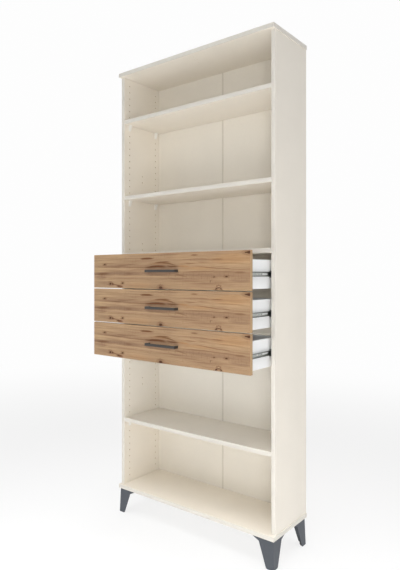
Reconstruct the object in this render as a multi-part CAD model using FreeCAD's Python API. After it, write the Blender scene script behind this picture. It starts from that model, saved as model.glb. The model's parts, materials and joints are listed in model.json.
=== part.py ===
"""Tall open bookcase with three wide drawers across its middle, on four folded steel legs.

Millimetres, +Z up, front towards -Y. The case is drawn with X = 0 on its centre line, Y = 0 at
the front edges of its sides and Z = 0 on the floor, and is moved as it is written, so that the
origin of the files is on the floor below the middle of the whole object with its drawers out.
"""
import FreeCAD, Part

import math
import os

from FreeCAD import Vector

# ---------------------------------------------------------------- driving dimensions: case
CASE_WIDTH = 894.0           # over the outer faces of the two sides
SIDE_DEPTH = 270.0           # front edge to rear edge of a side
BOARD = 19.0                 # sides, top, bottom and shelves
LEG_HEIGHT = 120.0           # floor to the underside of the bottom panel
FRONT_OVERHANG = 18.0        # top and bottom panels in front of the sides
SIDE_OVERHANG = 3.0          # top and bottom panels beyond each side

# line boring of the sides, on the usual 32 mm grid
HOLE_PITCH = 32.0
HOLE_ROWS = 63
HOLE_END_MARGIN = 35.0       # end of a side to its nearest hole
HOLE_SETBACK = 37.0          # front edge of a side to the front column
HOLE_REAR_SETBACK = 41.0     # rear edge of a side to the rear column
HOLE_ACROSS = 5.2
HOLE_DEPTH = 12.0
CONNECTOR_SETBACK = 129.0    # holes for joining two cases, half way back
CONNECTOR_ROWS = (14, 25, 36, 47)  # upper row of each pair

# back, in two leaves
BACK_THICKNESS = 3.0
BACK_INSET = 10.0            # rear edges of the sides to the rear face of the back
GROOVE_DEPTH = 7.0
GROOVE_CLEARANCE = 0.2       # on each face of a panel in its groove
STRIP_WIDTH = 9.0            # flange of the H-section strip between the two leaves
STRIP_WEB = 1.5
STRIP_FLANGE = 1.0

# shelves, each on four wedge supports plugged into the line boring
SHELF_ROWS = (7, 19, 28, 54)
SHELF_SETBACK = 1.0
SHELF_CLEARANCE = 0.5        # to the sides and to the back
SUPPORT_RISE = 24.3          # pin axis to the underside of the shelf
SUPPORT_DROP = 5.0           # pin axis to the toe of the wedge
SUPPORT_WIDTH = 14.0
SUPPORT_REACH = 12.0         # under the shelf
SUPPORT_TOE = 1.5            # thickness of the wedge at its toe
SUPPORT_LIP = 1.6            # thickness of the wedge at its far edge
PIN_COVER = 2.0              # from the end of a pin to the bottom of its hole

# fastenings between the sides and the top and bottom panels
CASE_SCREW_SETBACK = 70.0    # front edge of a side to its front screw
CASE_SCREW_REAR_SETBACK = 80.0
CASE_SCREW_LENGTH = 50.0
CASE_SCREW_ACROSS = 6.0
CASE_SCREW_HEAD = 10.0
CASE_SCREW_HEAD_DEPTH = 4.0
DOWEL_SETBACK = 135.0
DOWEL_ACROSS = 8.0
DOWEL_IN_SIDE = 18.0
DOWEL_IN_PANEL = 12.0

# ---------------------------------------------------------------- driving dimensions: legs
LEG_INSET = 6.7              # from the edges of the bottom panel
LEG_SHEET = 2.5
LEG_LEAN = 4.0               # how far the folded corner leans out at its foot
WING_TOP = 107.0             # length of a wing along the bottom panel
WING_WAIST = 68.0            # length of a wing where its slim tail ends
WING_TAIL = 17.5             # depth of the tail there
WING_WAIST_RADIUS = 6.0
WING_SOLE = 31.0
WING_SOLE_RADIUS = 9.0
FOLD_RADIUS = 3.0
LEG_PLATE = 75.0             # legs of the mounting plate along each wing
LEG_PLATE_END = 24.0
GLIDE_HEIGHT = 12.0
GLIDE_SIZE = 22.0
GLIDE_STANDOFF = 1.5         # how far a glide keeps the steel off the floor

# ---------------------------------------------------------------- driving dimensions: drawers
DRAWER_COUNT = 3
ROWS_ABOVE_DRAWERS = 30      # rows of the line boring above the top drawer's runners
ROWS_PER_DRAWER = 5
FRONT_THICKNESS = 16.0
FRONT_GAP = 4.0              # between two fronts
FRONT_SIDE_REVEAL = 2.0      # front short of the outer face of a side
FRONT_STANDOFF = 2.0         # closed front to the front edges of the sides
FRONT_RISE = 14.0            # runner axis to the middle of the front
BOX_HEIGHT = 116.5
BACK_CLEARANCE = 9.0         # rear ends of closed drawers and of runners to the back
BOX_BOARD = 12.0
BOX_BOTTOM = 3.0
BOX_BOTTOM_RISE = 10.0       # lower edge of a drawer side to its bottom panel
BOX_GROOVE_DEPTH = 6.0
CAM_DIAMETER = 15.0
CAM_COVER = 2.5              # board left behind a cam
CAM_SETBACK = 24.0           # front end of a drawer side to the middle of a cam
CAM_SPACING = 64.0

REST_OPENING = 165.0         # how far the drawers stand open
FULL_OPENING = 175.0

# handles
HANDLE_HOLE_SPACING = 160.0
HANDLE_POST_WIDTH = 12.0
HANDLE_HEIGHT = 11.0
HANDLE_PROJECTION = 25.0
HANDLE_BAR = 8.0             # thickness of the grip, front to back
HANDLE_EDGE = 1.2
HANDLE_SCREW_ACROSS = 4.0
HANDLE_SCREW_BITE = 10.0

# ---------------------------------------------------------------- driving dimensions: runners
RUNNER_GAP = 12.7            # side of the case to side of a drawer
RUNNER_SETBACK = 2.0
RUNNER_SHEET = 1.0
OUTER_HEIGHT = 27.0          # case member
INNER_HEIGHT = 17.0          # drawer member
LIP_REACH = 1.1              # how far a lip stands over the ball track
BALLS_PER_TRACK = 3
CAGE_LENGTH = 120.0
CAGE_SHEET = 0.8
CAGE_GAP = 0.3               # between the cage and the members
INNER_SCREW_SETBACK = 73.0   # front end of the drawer member to its front screw
INNER_SCREW_REAR_SETBACK = 31.0
INNER_HOLE = 97.0            # a spare screw hole
INNER_HOLE_ACROSS = 5.0
INNER_SLOT = (112.0, 156.0)  # a slot for adjusting the drawer
INNER_SLOT_HEIGHT = 6.0

# small screws of the runners, legs and handles: flat heads over plain shanks
SCREW_ACROSS = 3.6
SCREW_HEAD_ACROSS = 8.4
SCREW_HEAD_HEIGHT = 1.0
SCREW_COVER = 3.0            # board left beyond the point of a screw
FIT = 0.1                    # clearance all round a screw, dowel, pin or ball

# ---------------------------------------------------------------- worked out from those
SIDE_HEIGHT = (HOLE_ROWS - 1) * HOLE_PITCH + 2 * HOLE_END_MARGIN
BOTTOM_TOP = LEG_HEIGHT + BOARD
SIDE_TOP = BOTTOM_TOP + SIDE_HEIGHT
CASE_TOP = SIDE_TOP + BOARD
HALF_CASE = CASE_WIDTH / 2
HALF_INSIDE = HALF_CASE - BOARD
HALF_PANEL = HALF_CASE + SIDE_OVERHANG
BACK_REAR = SIDE_DEPTH - BACK_INSET
BACK_FRONT = BACK_REAR - BACK_THICKNESS
GROOVE_FRONT = BACK_FRONT - GROOVE_CLEARANCE
GROOVE_REAR = BACK_REAR + GROOVE_CLEARANCE
COLUMNS = (HOLE_SETBACK, SIDE_DEPTH - HOLE_REAR_SETBACK)
CASE_SCREW_PLACES = (CASE_SCREW_SETBACK, SIDE_DEPTH - CASE_SCREW_REAR_SETBACK)
DRAWER_ROWS = [ROWS_ABOVE_DRAWERS + i * ROWS_PER_DRAWER for i in range(DRAWER_COUNT)]
DRAWER_NUMBERS = range(1, DRAWER_COUNT + 1)
FRONT_HEIGHT = ROWS_PER_DRAWER * HOLE_PITCH - FRONT_GAP
HALF_FRONT = HALF_CASE - FRONT_SIDE_REVEAL
LEAN = math.atan2(LEG_LEAN, LEG_HEIGHT)
BOX_OUTSIDE = HALF_INSIDE - RUNNER_GAP
BOX_INSIDE = BOX_OUTSIDE - BOX_BOARD
BOX_REAR = BACK_FRONT - BACK_CLEARANCE
RUNNER_LENGTH = BOX_REAR - RUNNER_SETBACK
INNER_SCREWS = (INNER_SCREW_SETBACK, RUNNER_LENGTH - INNER_SCREW_REAR_SETBACK)
CAM_DEPTH = BOX_BOARD - CAM_COVER
CAGE_NEAR = RUNNER_SHEET + SCREW_HEAD_HEIGHT + CAGE_GAP
CAGE_FAR = CAGE_NEAR + CAGE_SHEET
INNER_TIP = CAGE_FAR + CAGE_GAP
TRACK = (OUTER_HEIGHT - INNER_HEIGHT) / 2 - RUNNER_SHEET
BALL = TRACK - 2 * FIT
OUTER_REACH = INNER_TIP + 2 * RUNNER_SHEET + TRACK
OUTER_SCREW = HOLE_DEPTH - PIN_COVER + RUNNER_SHEET
INNER_SCREW = BOX_BOARD - SCREW_COVER + RUNNER_SHEET
LEG_SCREW = BOARD - SCREW_COVER + LEG_SHEET
HANDLE_SCREW = FRONT_THICKNESS + HANDLE_SCREW_BITE
FRONT_FACE = -FRONT_STANDOFF - FRONT_THICKNESS
FOREMOST = FRONT_FACE - HANDLE_PROJECTION - REST_OPENING
ORIGIN_SHIFT = Vector(0, -(FOREMOST + SIDE_DEPTH) / 2, 0)


# ---------------------------------------------------------------- helpers
def row_height(row):
    """Height of a row of the line boring; row 0 is the highest."""
    return SIDE_TOP - HOLE_END_MARGIN - row * HOLE_PITCH


def block(x, y, z):
    """A board from its (low, high) pairs along X, Y and Z."""
    return Part.makeBox(x[1] - x[0], y[1] - y[0], z[1] - z[0], Vector(x[0], y[0], z[0]))


def bar(across, start, along, sides=6):
    """A straight bar with a few flat sides, measured over its flats.

    Pins, holes, screws and dowels are drawn this way: six flats where they show, and four for a
    shank or a hole inside a board, so that several hundred of them stay light.
    """
    reach = across / 2 / math.cos(math.pi / sides)
    upright = Vector(0, 0, 1) if abs(along.x) + abs(along.y) > 0 else Vector(0, 1, 0)
    second = upright.cross(along).normalize()
    first = along.cross(second).normalize()
    points = []
    for i in range(sides + 1):
        turn = 2 * math.pi * (i + 0.5) / sides
        points.append(start + first * (reach * math.cos(turn)) + second * (reach * math.sin(turn)))
    return Part.Face(Part.makePolygon(points)).extrude(along)


def extrusion(outline, along):
    """A solid from a closed outline of points, drawn along a vector."""
    return Part.Face(Part.makePolygon(outline + outline[:1])).extrude(along)


def fused(first, *others):
    """One solid from pieces that touch or overlap."""
    return first.fuse(list(others)).removeSplitter().Solids[0]


def cut(body, tools):
    """One solid less a list of others."""
    return body.cut(Part.makeCompound(tools)).Solids[0]


def mirrored(shape):
    """The same shape on the other side of the centre line."""
    return shape.mirror(Vector(0, 0, 0), Vector(1, 0, 0))


def both_sides(shapes):
    """Right-hand pieces with their left-hand twins."""
    return list(shapes) + [mirrored(s) for s in shapes]


def moved(shapes, y):
    """Copies drawn out towards the front by y."""
    return [s.translated(Vector(0, -y, 0)) for s in shapes]


def screw(seat, into, length, across=SCREW_ACROSS):
    """A flat-headed screw: its head stands on seat, its shank runs along the unit vector into."""
    head = bar(SCREW_HEAD_ACROSS, seat, into * -SCREW_HEAD_HEIGHT)
    return fused(head, bar(across, seat, into * length, 4))


def screw_hole(seat, into, length, across=SCREW_ACROSS):
    """The hole that a screw's shank fills, with its clearance."""
    return bar(across + 2 * FIT, seat, into * (length + FIT), 4)


def write(node, solids):
    """One file for a node, about the origin of the whole object."""
    shape = Part.makeCompound([s.translated(ORIGIN_SHIFT) for s in solids])
    shape.exportStep(os.path.join("parts", node + ".step"))


# ---------------------------------------------------------------- case
def line_boring():
    """Every blind hole in the inner face of the right-hand side."""
    inward = Vector(HOLE_DEPTH, 0, 0)
    places = [(y, row) for y in COLUMNS for row in range(HOLE_ROWS)]
    for upper in CONNECTOR_ROWS:
        places += [(CONNECTOR_SETBACK, upper), (CONNECTOR_SETBACK, upper + 1)]
    return [bar(HOLE_ACROSS, Vector(HALF_INSIDE, y, row_height(row)), inward) for y, row in places]


def case_screw(setback, top, clearance=0.0):
    """A long screw through the top or bottom panel into the end of the right-hand side."""
    up = 1 if top else -1
    outside = CASE_TOP if top else LEG_HEIGHT
    seat = Vector(HALF_CASE - BOARD / 2, setback, outside)
    down = Vector(0, 0, -up)
    head = bar(CASE_SCREW_HEAD + 2 * clearance, seat, down * (CASE_SCREW_HEAD_DEPTH + clearance))
    shank = bar(CASE_SCREW_ACROSS + 2 * clearance, seat, down * (CASE_SCREW_LENGTH + clearance), 4)
    return fused(head, shank)


def case_dowel(setback, top, clearance=0.0):
    """A dowel between the top or bottom panel and the end of the right-hand side."""
    up = 1 if top else -1
    meeting = SIDE_TOP if top else BOTTOM_TOP
    deep = DOWEL_IN_SIDE + clearance
    seat = Vector(HALF_CASE - BOARD / 2, setback, meeting - up * deep)
    length = deep + DOWEL_IN_PANEL + clearance
    return bar(DOWEL_ACROSS + 2 * clearance, seat, Vector(0, 0, up * length), 4)


def case_fastenings(is_dowel, clearance=0.0):
    """The screws or dowels at both ends of the right-hand side."""
    make = case_dowel if is_dowel else case_screw
    setbacks = (DOWEL_SETBACK,) if is_dowel else CASE_SCREW_PLACES
    return [make(y, top, clearance) for y in setbacks for top in (True, False)]


def fastening_holes():
    """What the right-hand joints take out of the boards that they join."""
    return case_fastenings(True, FIT) + case_fastenings(False, FIT)


def back_groove():
    """The slot for the back, all round the inside of the case."""
    deep = HALF_INSIDE + GROOVE_DEPTH
    low = BOTTOM_TOP - GROOVE_DEPTH
    high = SIDE_TOP + GROOVE_DEPTH
    return block((-deep, deep), (GROOVE_FRONT, GROOVE_REAR), (low, high))


def side_panel():
    """The right-hand side, bored, grooved and drilled at both ends."""
    board = block((HALF_INSIDE, HALF_CASE), (0, SIDE_DEPTH), (BOTTOM_TOP, SIDE_TOP))
    return cut(board, line_boring() + [back_groove()] + fastening_holes())


def end_panel(top):
    """The top or the bottom panel, which cap the sides and stand out past them."""
    low = SIDE_TOP if top else LEG_HEIGHT
    across = (-HALF_PANEL, HALF_PANEL)
    board = block(across, (-FRONT_OVERHANG, SIDE_DEPTH), (low, low + BOARD))
    taken = [back_groove()] + both_sides(fastening_holes())
    if not top:
        taken += leg_screw_holes()
    return cut(board, taken)


def back_leaf():
    """The right-hand half of the back, held in the grooves and in the joining strip."""
    end = GROOVE_DEPTH - GROOVE_CLEARANCE
    across = (STRIP_WEB / 2 + GROOVE_CLEARANCE, HALF_INSIDE + end)
    return block(across, (BACK_FRONT, BACK_REAR), (BOTTOM_TOP - end, SIDE_TOP + end))


def joining_strip():
    """The H-section strip that holds the inner edges of the two leaves."""
    web = STRIP_WEB / 2
    flange = STRIP_WIDTH / 2
    front = BACK_FRONT - GROOVE_CLEARANCE
    rear = BACK_REAR + GROOVE_CLEARANCE
    right = [
        (flange, front - STRIP_FLANGE), (flange, front), (web, front),
        (web, rear), (flange, rear), (flange, rear + STRIP_FLANGE),
    ]
    left = [(-x, y) for x, y in reversed(right)]
    foot = BOTTOM_TOP + GROOVE_CLEARANCE
    outline = [Vector(x, y, foot) for x, y in right + left]
    return extrusion(outline, Vector(0, 0, SIDE_HEIGHT - 2 * GROOVE_CLEARANCE))


def shelf(row):
    """A shelf on the supports of one row, its rear edge just short of the joining strip."""
    low = row_height(row) + SUPPORT_RISE
    half = HALF_INSIDE - SHELF_CLEARANCE
    rear = BACK_FRONT - GROOVE_CLEARANCE - STRIP_FLANGE - SHELF_CLEARANCE
    return block((-half, half), (SHELF_SETBACK, rear), (low, low + BOARD))


def shelf_support(row, setback):
    """A wedge under a shelf with its pin in the right-hand side."""
    height = row_height(row)
    profile = [
        (0, SUPPORT_RISE), (SUPPORT_REACH, SUPPORT_RISE), (SUPPORT_REACH, SUPPORT_RISE - SUPPORT_LIP),
        (SUPPORT_TOE, -SUPPORT_DROP), (0, -SUPPORT_DROP),
    ]
    front = setback - SUPPORT_WIDTH / 2
    outline = [Vector(HALF_INSIDE - x, front, height + z) for x, z in profile]
    wedge = extrusion(outline, Vector(0, SUPPORT_WIDTH, 0))
    length = HOLE_DEPTH - PIN_COVER
    pin = bar(HOLE_ACROSS - 2 * FIT, Vector(HALF_INSIDE, setback, height), Vector(length, 0, 0))
    return fused(wedge, pin)


# ---------------------------------------------------------------- legs
def wing_outline():
    """Outline of one wing, as (distance from the folded corner, depth below the panel)."""
    foot = (LEG_HEIGHT - GLIDE_STANDOFF) / math.cos(LEAN)
    tip = Vector(WING_TOP, 0, 0)
    waist = Vector(WING_WAIST, -WING_TAIL, 0)
    toe = Vector(WING_SOLE, -foot, 0)
    heel = Vector(-foot * math.sin(LEAN), -foot, 0)
    corner = Vector(0, 0, 0)
    edges = rounded([corner, tip, waist, toe, heel], {2: WING_WAIST_RADIUS, 3: WING_SOLE_RADIUS})
    return Part.Wire(edges)


def rounded(points, radii):
    """Edges round a closed outline, with an arc at each corner that radii names by its index."""
    count = len(points)
    starts = list(points)
    ends = list(points)
    arcs = {}
    for i, radius in radii.items():
        corner = points[i]
        before = (points[i - 1] - corner).normalize()
        after = (points[(i + 1) % count] - corner).normalize()
        half_angle = before.getAngle(after) / 2
        back_off = radius / math.tan(half_angle)
        bisector = (before + after).normalize()
        ends[i] = corner + before * back_off
        starts[i] = corner + after * back_off
        middle = corner + bisector * (radius / math.sin(half_angle) - radius)
        arcs[i] = Part.Arc(ends[i], middle, starts[i]).toShape()
    edges = []
    for i in range(count):
        if i in arcs:
            edges.append(arcs[i])
        edges.append(Part.LineSegment(starts[i], ends[(i + 1) % count]).toShape())
    return edges


def leg():
    """A leg with its folded corner at the origin and its wings along +X and +Y."""
    wing = Part.Face(wing_outline())
    wing.rotate(Vector(0, 0, 0), Vector(1, 0, 0), 90 - math.degrees(LEAN))
    front = wing.extrude(Vector(0, LEG_SHEET, 0))
    side = front.mirror(Vector(0, 0, 0), Vector(1, -1, 0))
    wings = fused(front, side)
    wings = wings.makeFillet(FOLD_RADIUS, [e for e in wings.Edges if is_fold(e)])
    near = LEG_SHEET / 2
    far = LEG_PLATE
    end = LEG_PLATE_END
    plate_points = [(near, near), (far, near), (far, end), (end, far), (near, far)]
    plate = extrusion([Vector(x, y, -LEG_SHEET) for x, y in plate_points], Vector(0, 0, LEG_SHEET))
    return cut(fused(wings, plate), leg_holes())


def is_fold(edge):
    """Whether an edge is the outer edge of the folded corner."""
    ends = [v.Point for v in edge.Vertexes]
    on_corner = all(abs(p.x - p.y) < 0.01 and p.x < 0.01 for p in ends)
    return on_corner and edge.Length > LEG_HEIGHT / 2


def leg_screw_places():
    """The screws of one leg, about its folded corner."""
    near = (LEG_PLATE_END + LEG_SHEET) / 2
    far = LEG_PLATE - near
    return [(far, near), (near, far)]


def leg_holes():
    """The screw holes through a mounting plate."""
    up = Vector(0, 0, 1)
    return [screw_hole(Vector(x, y, -LEG_SHEET), up, LEG_SCREW) for x, y in leg_screw_places()]


def leg_screws():
    """The screws of one leg, up through its plate."""
    up = Vector(0, 0, 1)
    return [screw(Vector(x, y, -LEG_SHEET), up, LEG_SCREW) for x, y in leg_screw_places()]


def glide():
    """The plastic foot in the folded corner of a leg, a little lower than the steel."""
    seat = LEG_SHEET - (LEG_HEIGHT - GLIDE_HEIGHT) * math.tan(LEAN)
    far = seat + GLIDE_SIZE
    outline = [(seat, seat), (far, seat), (far, (seat + far) / 2), ((seat + far) / 2, far), (seat, far)]
    return extrusion([Vector(x, y, -LEG_HEIGHT) for x, y in outline], Vector(0, 0, GLIDE_HEIGHT))


def at_corners(shapes):
    """(name, shapes) for the pieces of a leg at each corner under the bottom panel."""
    side = HALF_PANEL - LEG_INSET
    front = -FRONT_OVERHANG + LEG_INSET
    rear = SIDE_DEPTH - LEG_INSET
    corners = []
    for end, y, flip in (("front", front, False), ("rear", rear, True)):
        turned = [s.mirror(Vector(0, 0, 0), Vector(0, 1, 0)) if flip else s for s in shapes]
        left = [s.translated(Vector(-side, y, LEG_HEIGHT)) for s in turned]
        corners += [(end + "_left", left), (end + "_right", [mirrored(s) for s in left])]
    return corners


def leg_screw_holes():
    """What the screws of all four legs take out of the bottom panel."""
    return [hole for name, holes in at_corners(leg_holes()) for hole in holes]


# ---------------------------------------------------------------- drawers
def drawer_bottom_level(axis):
    """Underside of a drawer's bottom panel, from the height of its runner axis."""
    return axis - BOX_HEIGHT / 2 + BOX_BOTTOM_RISE


def drawer_groove(axis):
    """The slot for a drawer's bottom panel in its sides and front."""
    low = drawer_bottom_level(axis) - GROOVE_CLEARANCE
    high = drawer_bottom_level(axis) + BOX_BOTTOM + GROOVE_CLEARANCE
    half = BOX_INSIDE + BOX_GROOVE_DEPTH
    return block((-half, half), (-FRONT_STANDOFF - BOX_GROOVE_DEPTH, BOX_REAR), (low, high))


def drawer_front(axis):
    """The full-overlay front of a drawer, grooved for the bottom and drilled for the handle."""
    middle = axis + FRONT_RISE
    tall = (middle - FRONT_HEIGHT / 2, middle + FRONT_HEIGHT / 2)
    board = block((-HALF_FRONT, HALF_FRONT), (FRONT_FACE, -FRONT_STANDOFF), tall)
    holes = [drawer_groove(axis)]
    for seat in handle_screw_seats(axis):
        holes.append(screw_hole(seat, Vector(0, -1, 0), HANDLE_SCREW, HANDLE_SCREW_ACROSS))
    return cut(board, holes)


def drawer_cam_places(axis):
    """Centres of the right-hand cams, on the inner face of a drawer side."""
    y = -FRONT_STANDOFF + CAM_SETBACK
    return [Vector(BOX_INSIDE, y, axis + z) for z in (-CAM_SPACING / 2, CAM_SPACING / 2)]


def drawer_cams(axis, clearance=0.0):
    """The cams that lock the right-hand side of a drawer to its front."""
    along = Vector(CAM_DEPTH + clearance, 0, 0)
    return [bar(CAM_DIAMETER + 2 * clearance, p, along, 8) for p in drawer_cam_places(axis)]


def drawer_side(axis):
    """The right-hand side of a drawer."""
    tall = (axis - BOX_HEIGHT / 2, axis + BOX_HEIGHT / 2)
    board = block((BOX_INSIDE, BOX_OUTSIDE), (-FRONT_STANDOFF, BOX_REAR), tall)
    taken = [drawer_groove(axis)] + drawer_cams(axis, FIT)
    return cut(board, taken + inner_screw_holes(axis))


def drawer_back(axis):
    """The back board of a drawer, standing on its bottom panel."""
    low = drawer_bottom_level(axis) + BOX_BOTTOM
    tall = (low, axis + BOX_HEIGHT / 2)
    return block((-BOX_INSIDE, BOX_INSIDE), (BOX_REAR - BOX_BOARD, BOX_REAR), tall)


def drawer_bottom(axis):
    """The thin bottom panel of a drawer, in the grooves of its sides and front."""
    half = BOX_INSIDE + BOX_GROOVE_DEPTH - GROOVE_CLEARANCE
    front = -FRONT_STANDOFF - BOX_GROOVE_DEPTH + GROOVE_CLEARANCE
    low = drawer_bottom_level(axis)
    return block((-half, half), (front, BOX_REAR), (low, low + BOX_BOTTOM))


def handle(axis):
    """A square bow handle, its two posts flat on the front."""
    half = (HANDLE_HOLE_SPACING + HANDLE_POST_WIDTH) / 2
    inner = half - HANDLE_POST_WIDTH
    nose = FRONT_FACE - HANDLE_PROJECTION
    throat = nose + HANDLE_BAR
    low = axis + FRONT_RISE - HANDLE_HEIGHT / 2
    outline = [
        (-half, FRONT_FACE), (-half, nose), (half, nose), (half, FRONT_FACE),
        (inner, FRONT_FACE), (inner, throat), (-inner, throat), (-inner, FRONT_FACE),
    ]
    bow = extrusion([Vector(x, y, low) for x, y in outline], Vector(0, 0, HANDLE_HEIGHT))
    outside = [e for e in bow.Edges if all(abs(v.Y - nose) < 0.01 for v in e.Vertexes)]
    bow = bow.makeChamfer(HANDLE_EDGE, outside)
    forward = Vector(0, -1, 0)
    seats = handle_screw_seats(axis)
    return cut(bow, [screw_hole(seat, forward, HANDLE_SCREW, HANDLE_SCREW_ACROSS) for seat in seats])


def handle_screw_seats(axis):
    """Where the heads of the handle screws bear on the inside of the front."""
    z = axis + FRONT_RISE
    return [Vector(x, -FRONT_STANDOFF, z) for x in (-HANDLE_HOLE_SPACING / 2, HANDLE_HOLE_SPACING / 2)]


def handle_screws(axis):
    """The two screws through a front into its handle."""
    forward = Vector(0, -1, 0)
    return [screw(seat, forward, HANDLE_SCREW, HANDLE_SCREW_ACROSS) for seat in handle_screw_seats(axis)]


# ---------------------------------------------------------------- runners
def runner_outline(points, axis, front):
    """A section of the right-hand runner, from (distance off the case side, height) points."""
    return [Vector(HALF_INSIDE - off, front, axis + up) for off, up in points]


def with_mirror_image(upper):
    """A section symmetric about the runner axis, from the points of its upper half in order."""
    return upper + [(off, -up) for off, up in reversed(upper)]


def outer_member(axis):
    """The C-section screwed to the case, its lips turned in over the ball tracks."""
    half = OUTER_HEIGHT / 2
    track = half - RUNNER_SHEET
    lip = OUTER_REACH - RUNNER_SHEET
    upper = [
        (0, half), (OUTER_REACH, half), (OUTER_REACH, track - LIP_REACH),
        (lip, track - LIP_REACH), (lip, track), (RUNNER_SHEET, track),
    ]
    outline = runner_outline(with_mirror_image(upper), axis, RUNNER_SETBACK)
    member = extrusion(outline, Vector(0, RUNNER_LENGTH, 0))
    outward = Vector(1, 0, 0)
    return cut(member, [screw_hole(s, outward, OUTER_SCREW) for s in outer_screw_seats(axis)])


def outer_screw_seats(axis):
    """Where the screws of a case member bear on its web, in both columns of the line boring."""
    return [Vector(HALF_INSIDE - RUNNER_SHEET, y, axis) for y in COLUMNS]


def inner_member(axis):
    """The C-section screwed to the drawer, its lips turned out under the ball tracks."""
    half = INNER_HEIGHT / 2
    web = RUNNER_GAP - RUNNER_SHEET
    lip = INNER_TIP + RUNNER_SHEET
    upper = [
        (RUNNER_GAP, half), (lip, half), (lip, half + LIP_REACH),
        (INNER_TIP, half + LIP_REACH), (INNER_TIP, half - RUNNER_SHEET), (web, half - RUNNER_SHEET),
    ]
    outline = runner_outline(with_mirror_image(upper), axis, RUNNER_SETBACK)
    member = extrusion(outline, Vector(0, RUNNER_LENGTH, 0))
    return cut(member, inner_screw_holes(axis) + inner_adjustments(axis))


def inner_adjustments(axis):
    """The spare hole of a drawer member and its round-ended slot, through the web."""
    outside = BOX_OUTSIDE - FIT
    inside = BOX_OUTSIDE + RUNNER_SHEET + FIT
    through = Vector(inside - outside, 0, 0)
    spare = bar(INNER_HOLE_ACROSS, Vector(outside, RUNNER_SETBACK + INNER_HOLE, axis), through)
    half = INNER_SLOT_HEIGHT / 2
    turns = (RUNNER_SETBACK + INNER_SLOT[0] + half, RUNNER_SETBACK + INNER_SLOT[1] - half)
    straight = block((outside, inside), turns, (axis - half, axis + half))
    ends = [bar(INNER_SLOT_HEIGHT, Vector(outside, y, axis), through, 8) for y in turns]
    return [spare, fused(straight, *ends)]


def inner_screw_seats(axis):
    """Where the screws of a drawer member bear on its web."""
    x = BOX_OUTSIDE + RUNNER_SHEET
    return [Vector(x, RUNNER_SETBACK + y, axis) for y in INNER_SCREWS]


def inner_screw_holes(axis):
    """What the screws of a drawer member take out of it and out of the drawer side."""
    inward = Vector(-1, 0, 0)
    return [screw_hole(seat, inward, INNER_SCREW) for seat in inner_screw_seats(axis)]


def track_height():
    """Height of a row of balls above the runner axis, half way between the two members."""
    return (INNER_HEIGHT + TRACK) / 2


def track_offset():
    """Distance of a row of balls off the case side, half way between the two lips."""
    return INNER_TIP + RUNNER_SHEET + TRACK / 2


def cage_front():
    """Front end of a closed cage: it reaches the mouth of the case member at full opening."""
    return RUNNER_SETBACK + FULL_OPENING / 2


def ball_places(axis):
    """Centres of the balls of one closed cage."""
    step = CAGE_LENGTH / BALLS_PER_TRACK
    x = HALF_INSIDE - track_offset()
    heights = (axis - track_height(), axis + track_height())
    rows = [cage_front() + step * (i + 0.5) for i in range(BALLS_PER_TRACK)]
    return [Vector(x, y, z) for z in heights for y in rows]


def ball(centre):
    """A bearing ball with fourteen flats: a cube cut at each corner down to its edges' middles."""
    half = BALL / 2
    cube = block((-half, half), (-half, half), (-half, half))
    corners = []
    for x in (-1, 1):
        for y in (-1, 1):
            for z in (-1, 1):
                outward = Vector(x, y, z).normalize()
                corners.append(bar(2 * BALL, outward * (BALL / math.sqrt(3)), outward * BALL, 4))
    return cut(cube, corners).translated(centre)


def cage(axis):
    """The plastic cage: a channel between the members, with a window round each ball."""
    top = track_height() + CAGE_SHEET / 2
    bottom = track_height() - CAGE_SHEET / 2
    upper = [(CAGE_NEAR, top), (OUTER_REACH, top), (OUTER_REACH, bottom), (CAGE_FAR, bottom)]
    outline = runner_outline(with_mirror_image(upper), axis, cage_front())
    channel = extrusion(outline, Vector(0, CAGE_LENGTH, 0))
    half = BALL / 2 + FIT
    windows = []
    for p in ball_places(axis):
        windows.append(block((p.x - half, p.x + half), (p.y - half, p.y + half), (p.z - half, p.z + half)))
    return cut(channel, windows)


# ---------------------------------------------------------------- the pieces, one file each
def write_case():
    """Everything that stands still."""
    side = side_panel()
    write("right_side_panel", [side])
    write("left_side_panel", [mirrored(side)])
    write("top_panel", [end_panel(True)])
    write("bottom_panel", [end_panel(False)])
    write("back_panel_right", [back_leaf()])
    write("back_panel_left", [mirrored(back_leaf())])
    write("back_joining_strip", [joining_strip()])
    write("case_screws", both_sides(case_fastenings(False)))
    write("case_dowels", both_sides(case_fastenings(True)))
    supports = []
    for number, row in enumerate(SHELF_ROWS, 1):
        write("shelf_%d" % number, [shelf(row)])
        supports += [shelf_support(row, y) for y in COLUMNS]
    write("shelf_supports", both_sides(supports))


def write_legs():
    """The four legs with their screws and glides."""
    for corner, shapes in at_corners([leg()]):
        write("leg_" + corner, shapes)
    write("leg_screws", [s for corner, shapes in at_corners(leg_screws()) for s in shapes])
    write("leg_glides", [s for corner, shapes in at_corners([glide()]) for s in shapes])


def write_drawer(number, axis):
    """One drawer, standing open, with its runners."""
    name = "drawer_%d_" % number
    side = drawer_side(axis)
    write(name + "front", moved([drawer_front(axis)], REST_OPENING))
    write(name + "handle", moved([handle(axis)], REST_OPENING))
    write(name + "handle_screws", moved(handle_screws(axis), REST_OPENING))
    write(name + "side_right", moved([side], REST_OPENING))
    write(name + "side_left", moved([mirrored(side)], REST_OPENING))
    write(name + "back", moved([drawer_back(axis)], REST_OPENING))
    write(name + "bottom", moved([drawer_bottom(axis)], REST_OPENING))
    write(name + "cams", moved(both_sides(drawer_cams(axis)), REST_OPENING))
    write(name + "inner_runners", moved(both_sides([inner_member(axis)]), REST_OPENING))
    inner_screws = [screw(s, Vector(-1, 0, 0), INNER_SCREW) for s in inner_screw_seats(axis)]
    write(name + "runner_screws", moved(both_sides(inner_screws), REST_OPENING))
    cages = [cage(axis)] + [ball(p) for p in ball_places(axis)]
    write(name + "ball_cages", moved(both_sides(cages), REST_OPENING / 2))
    write(name + "outer_runners", both_sides([outer_member(axis)]))


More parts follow.
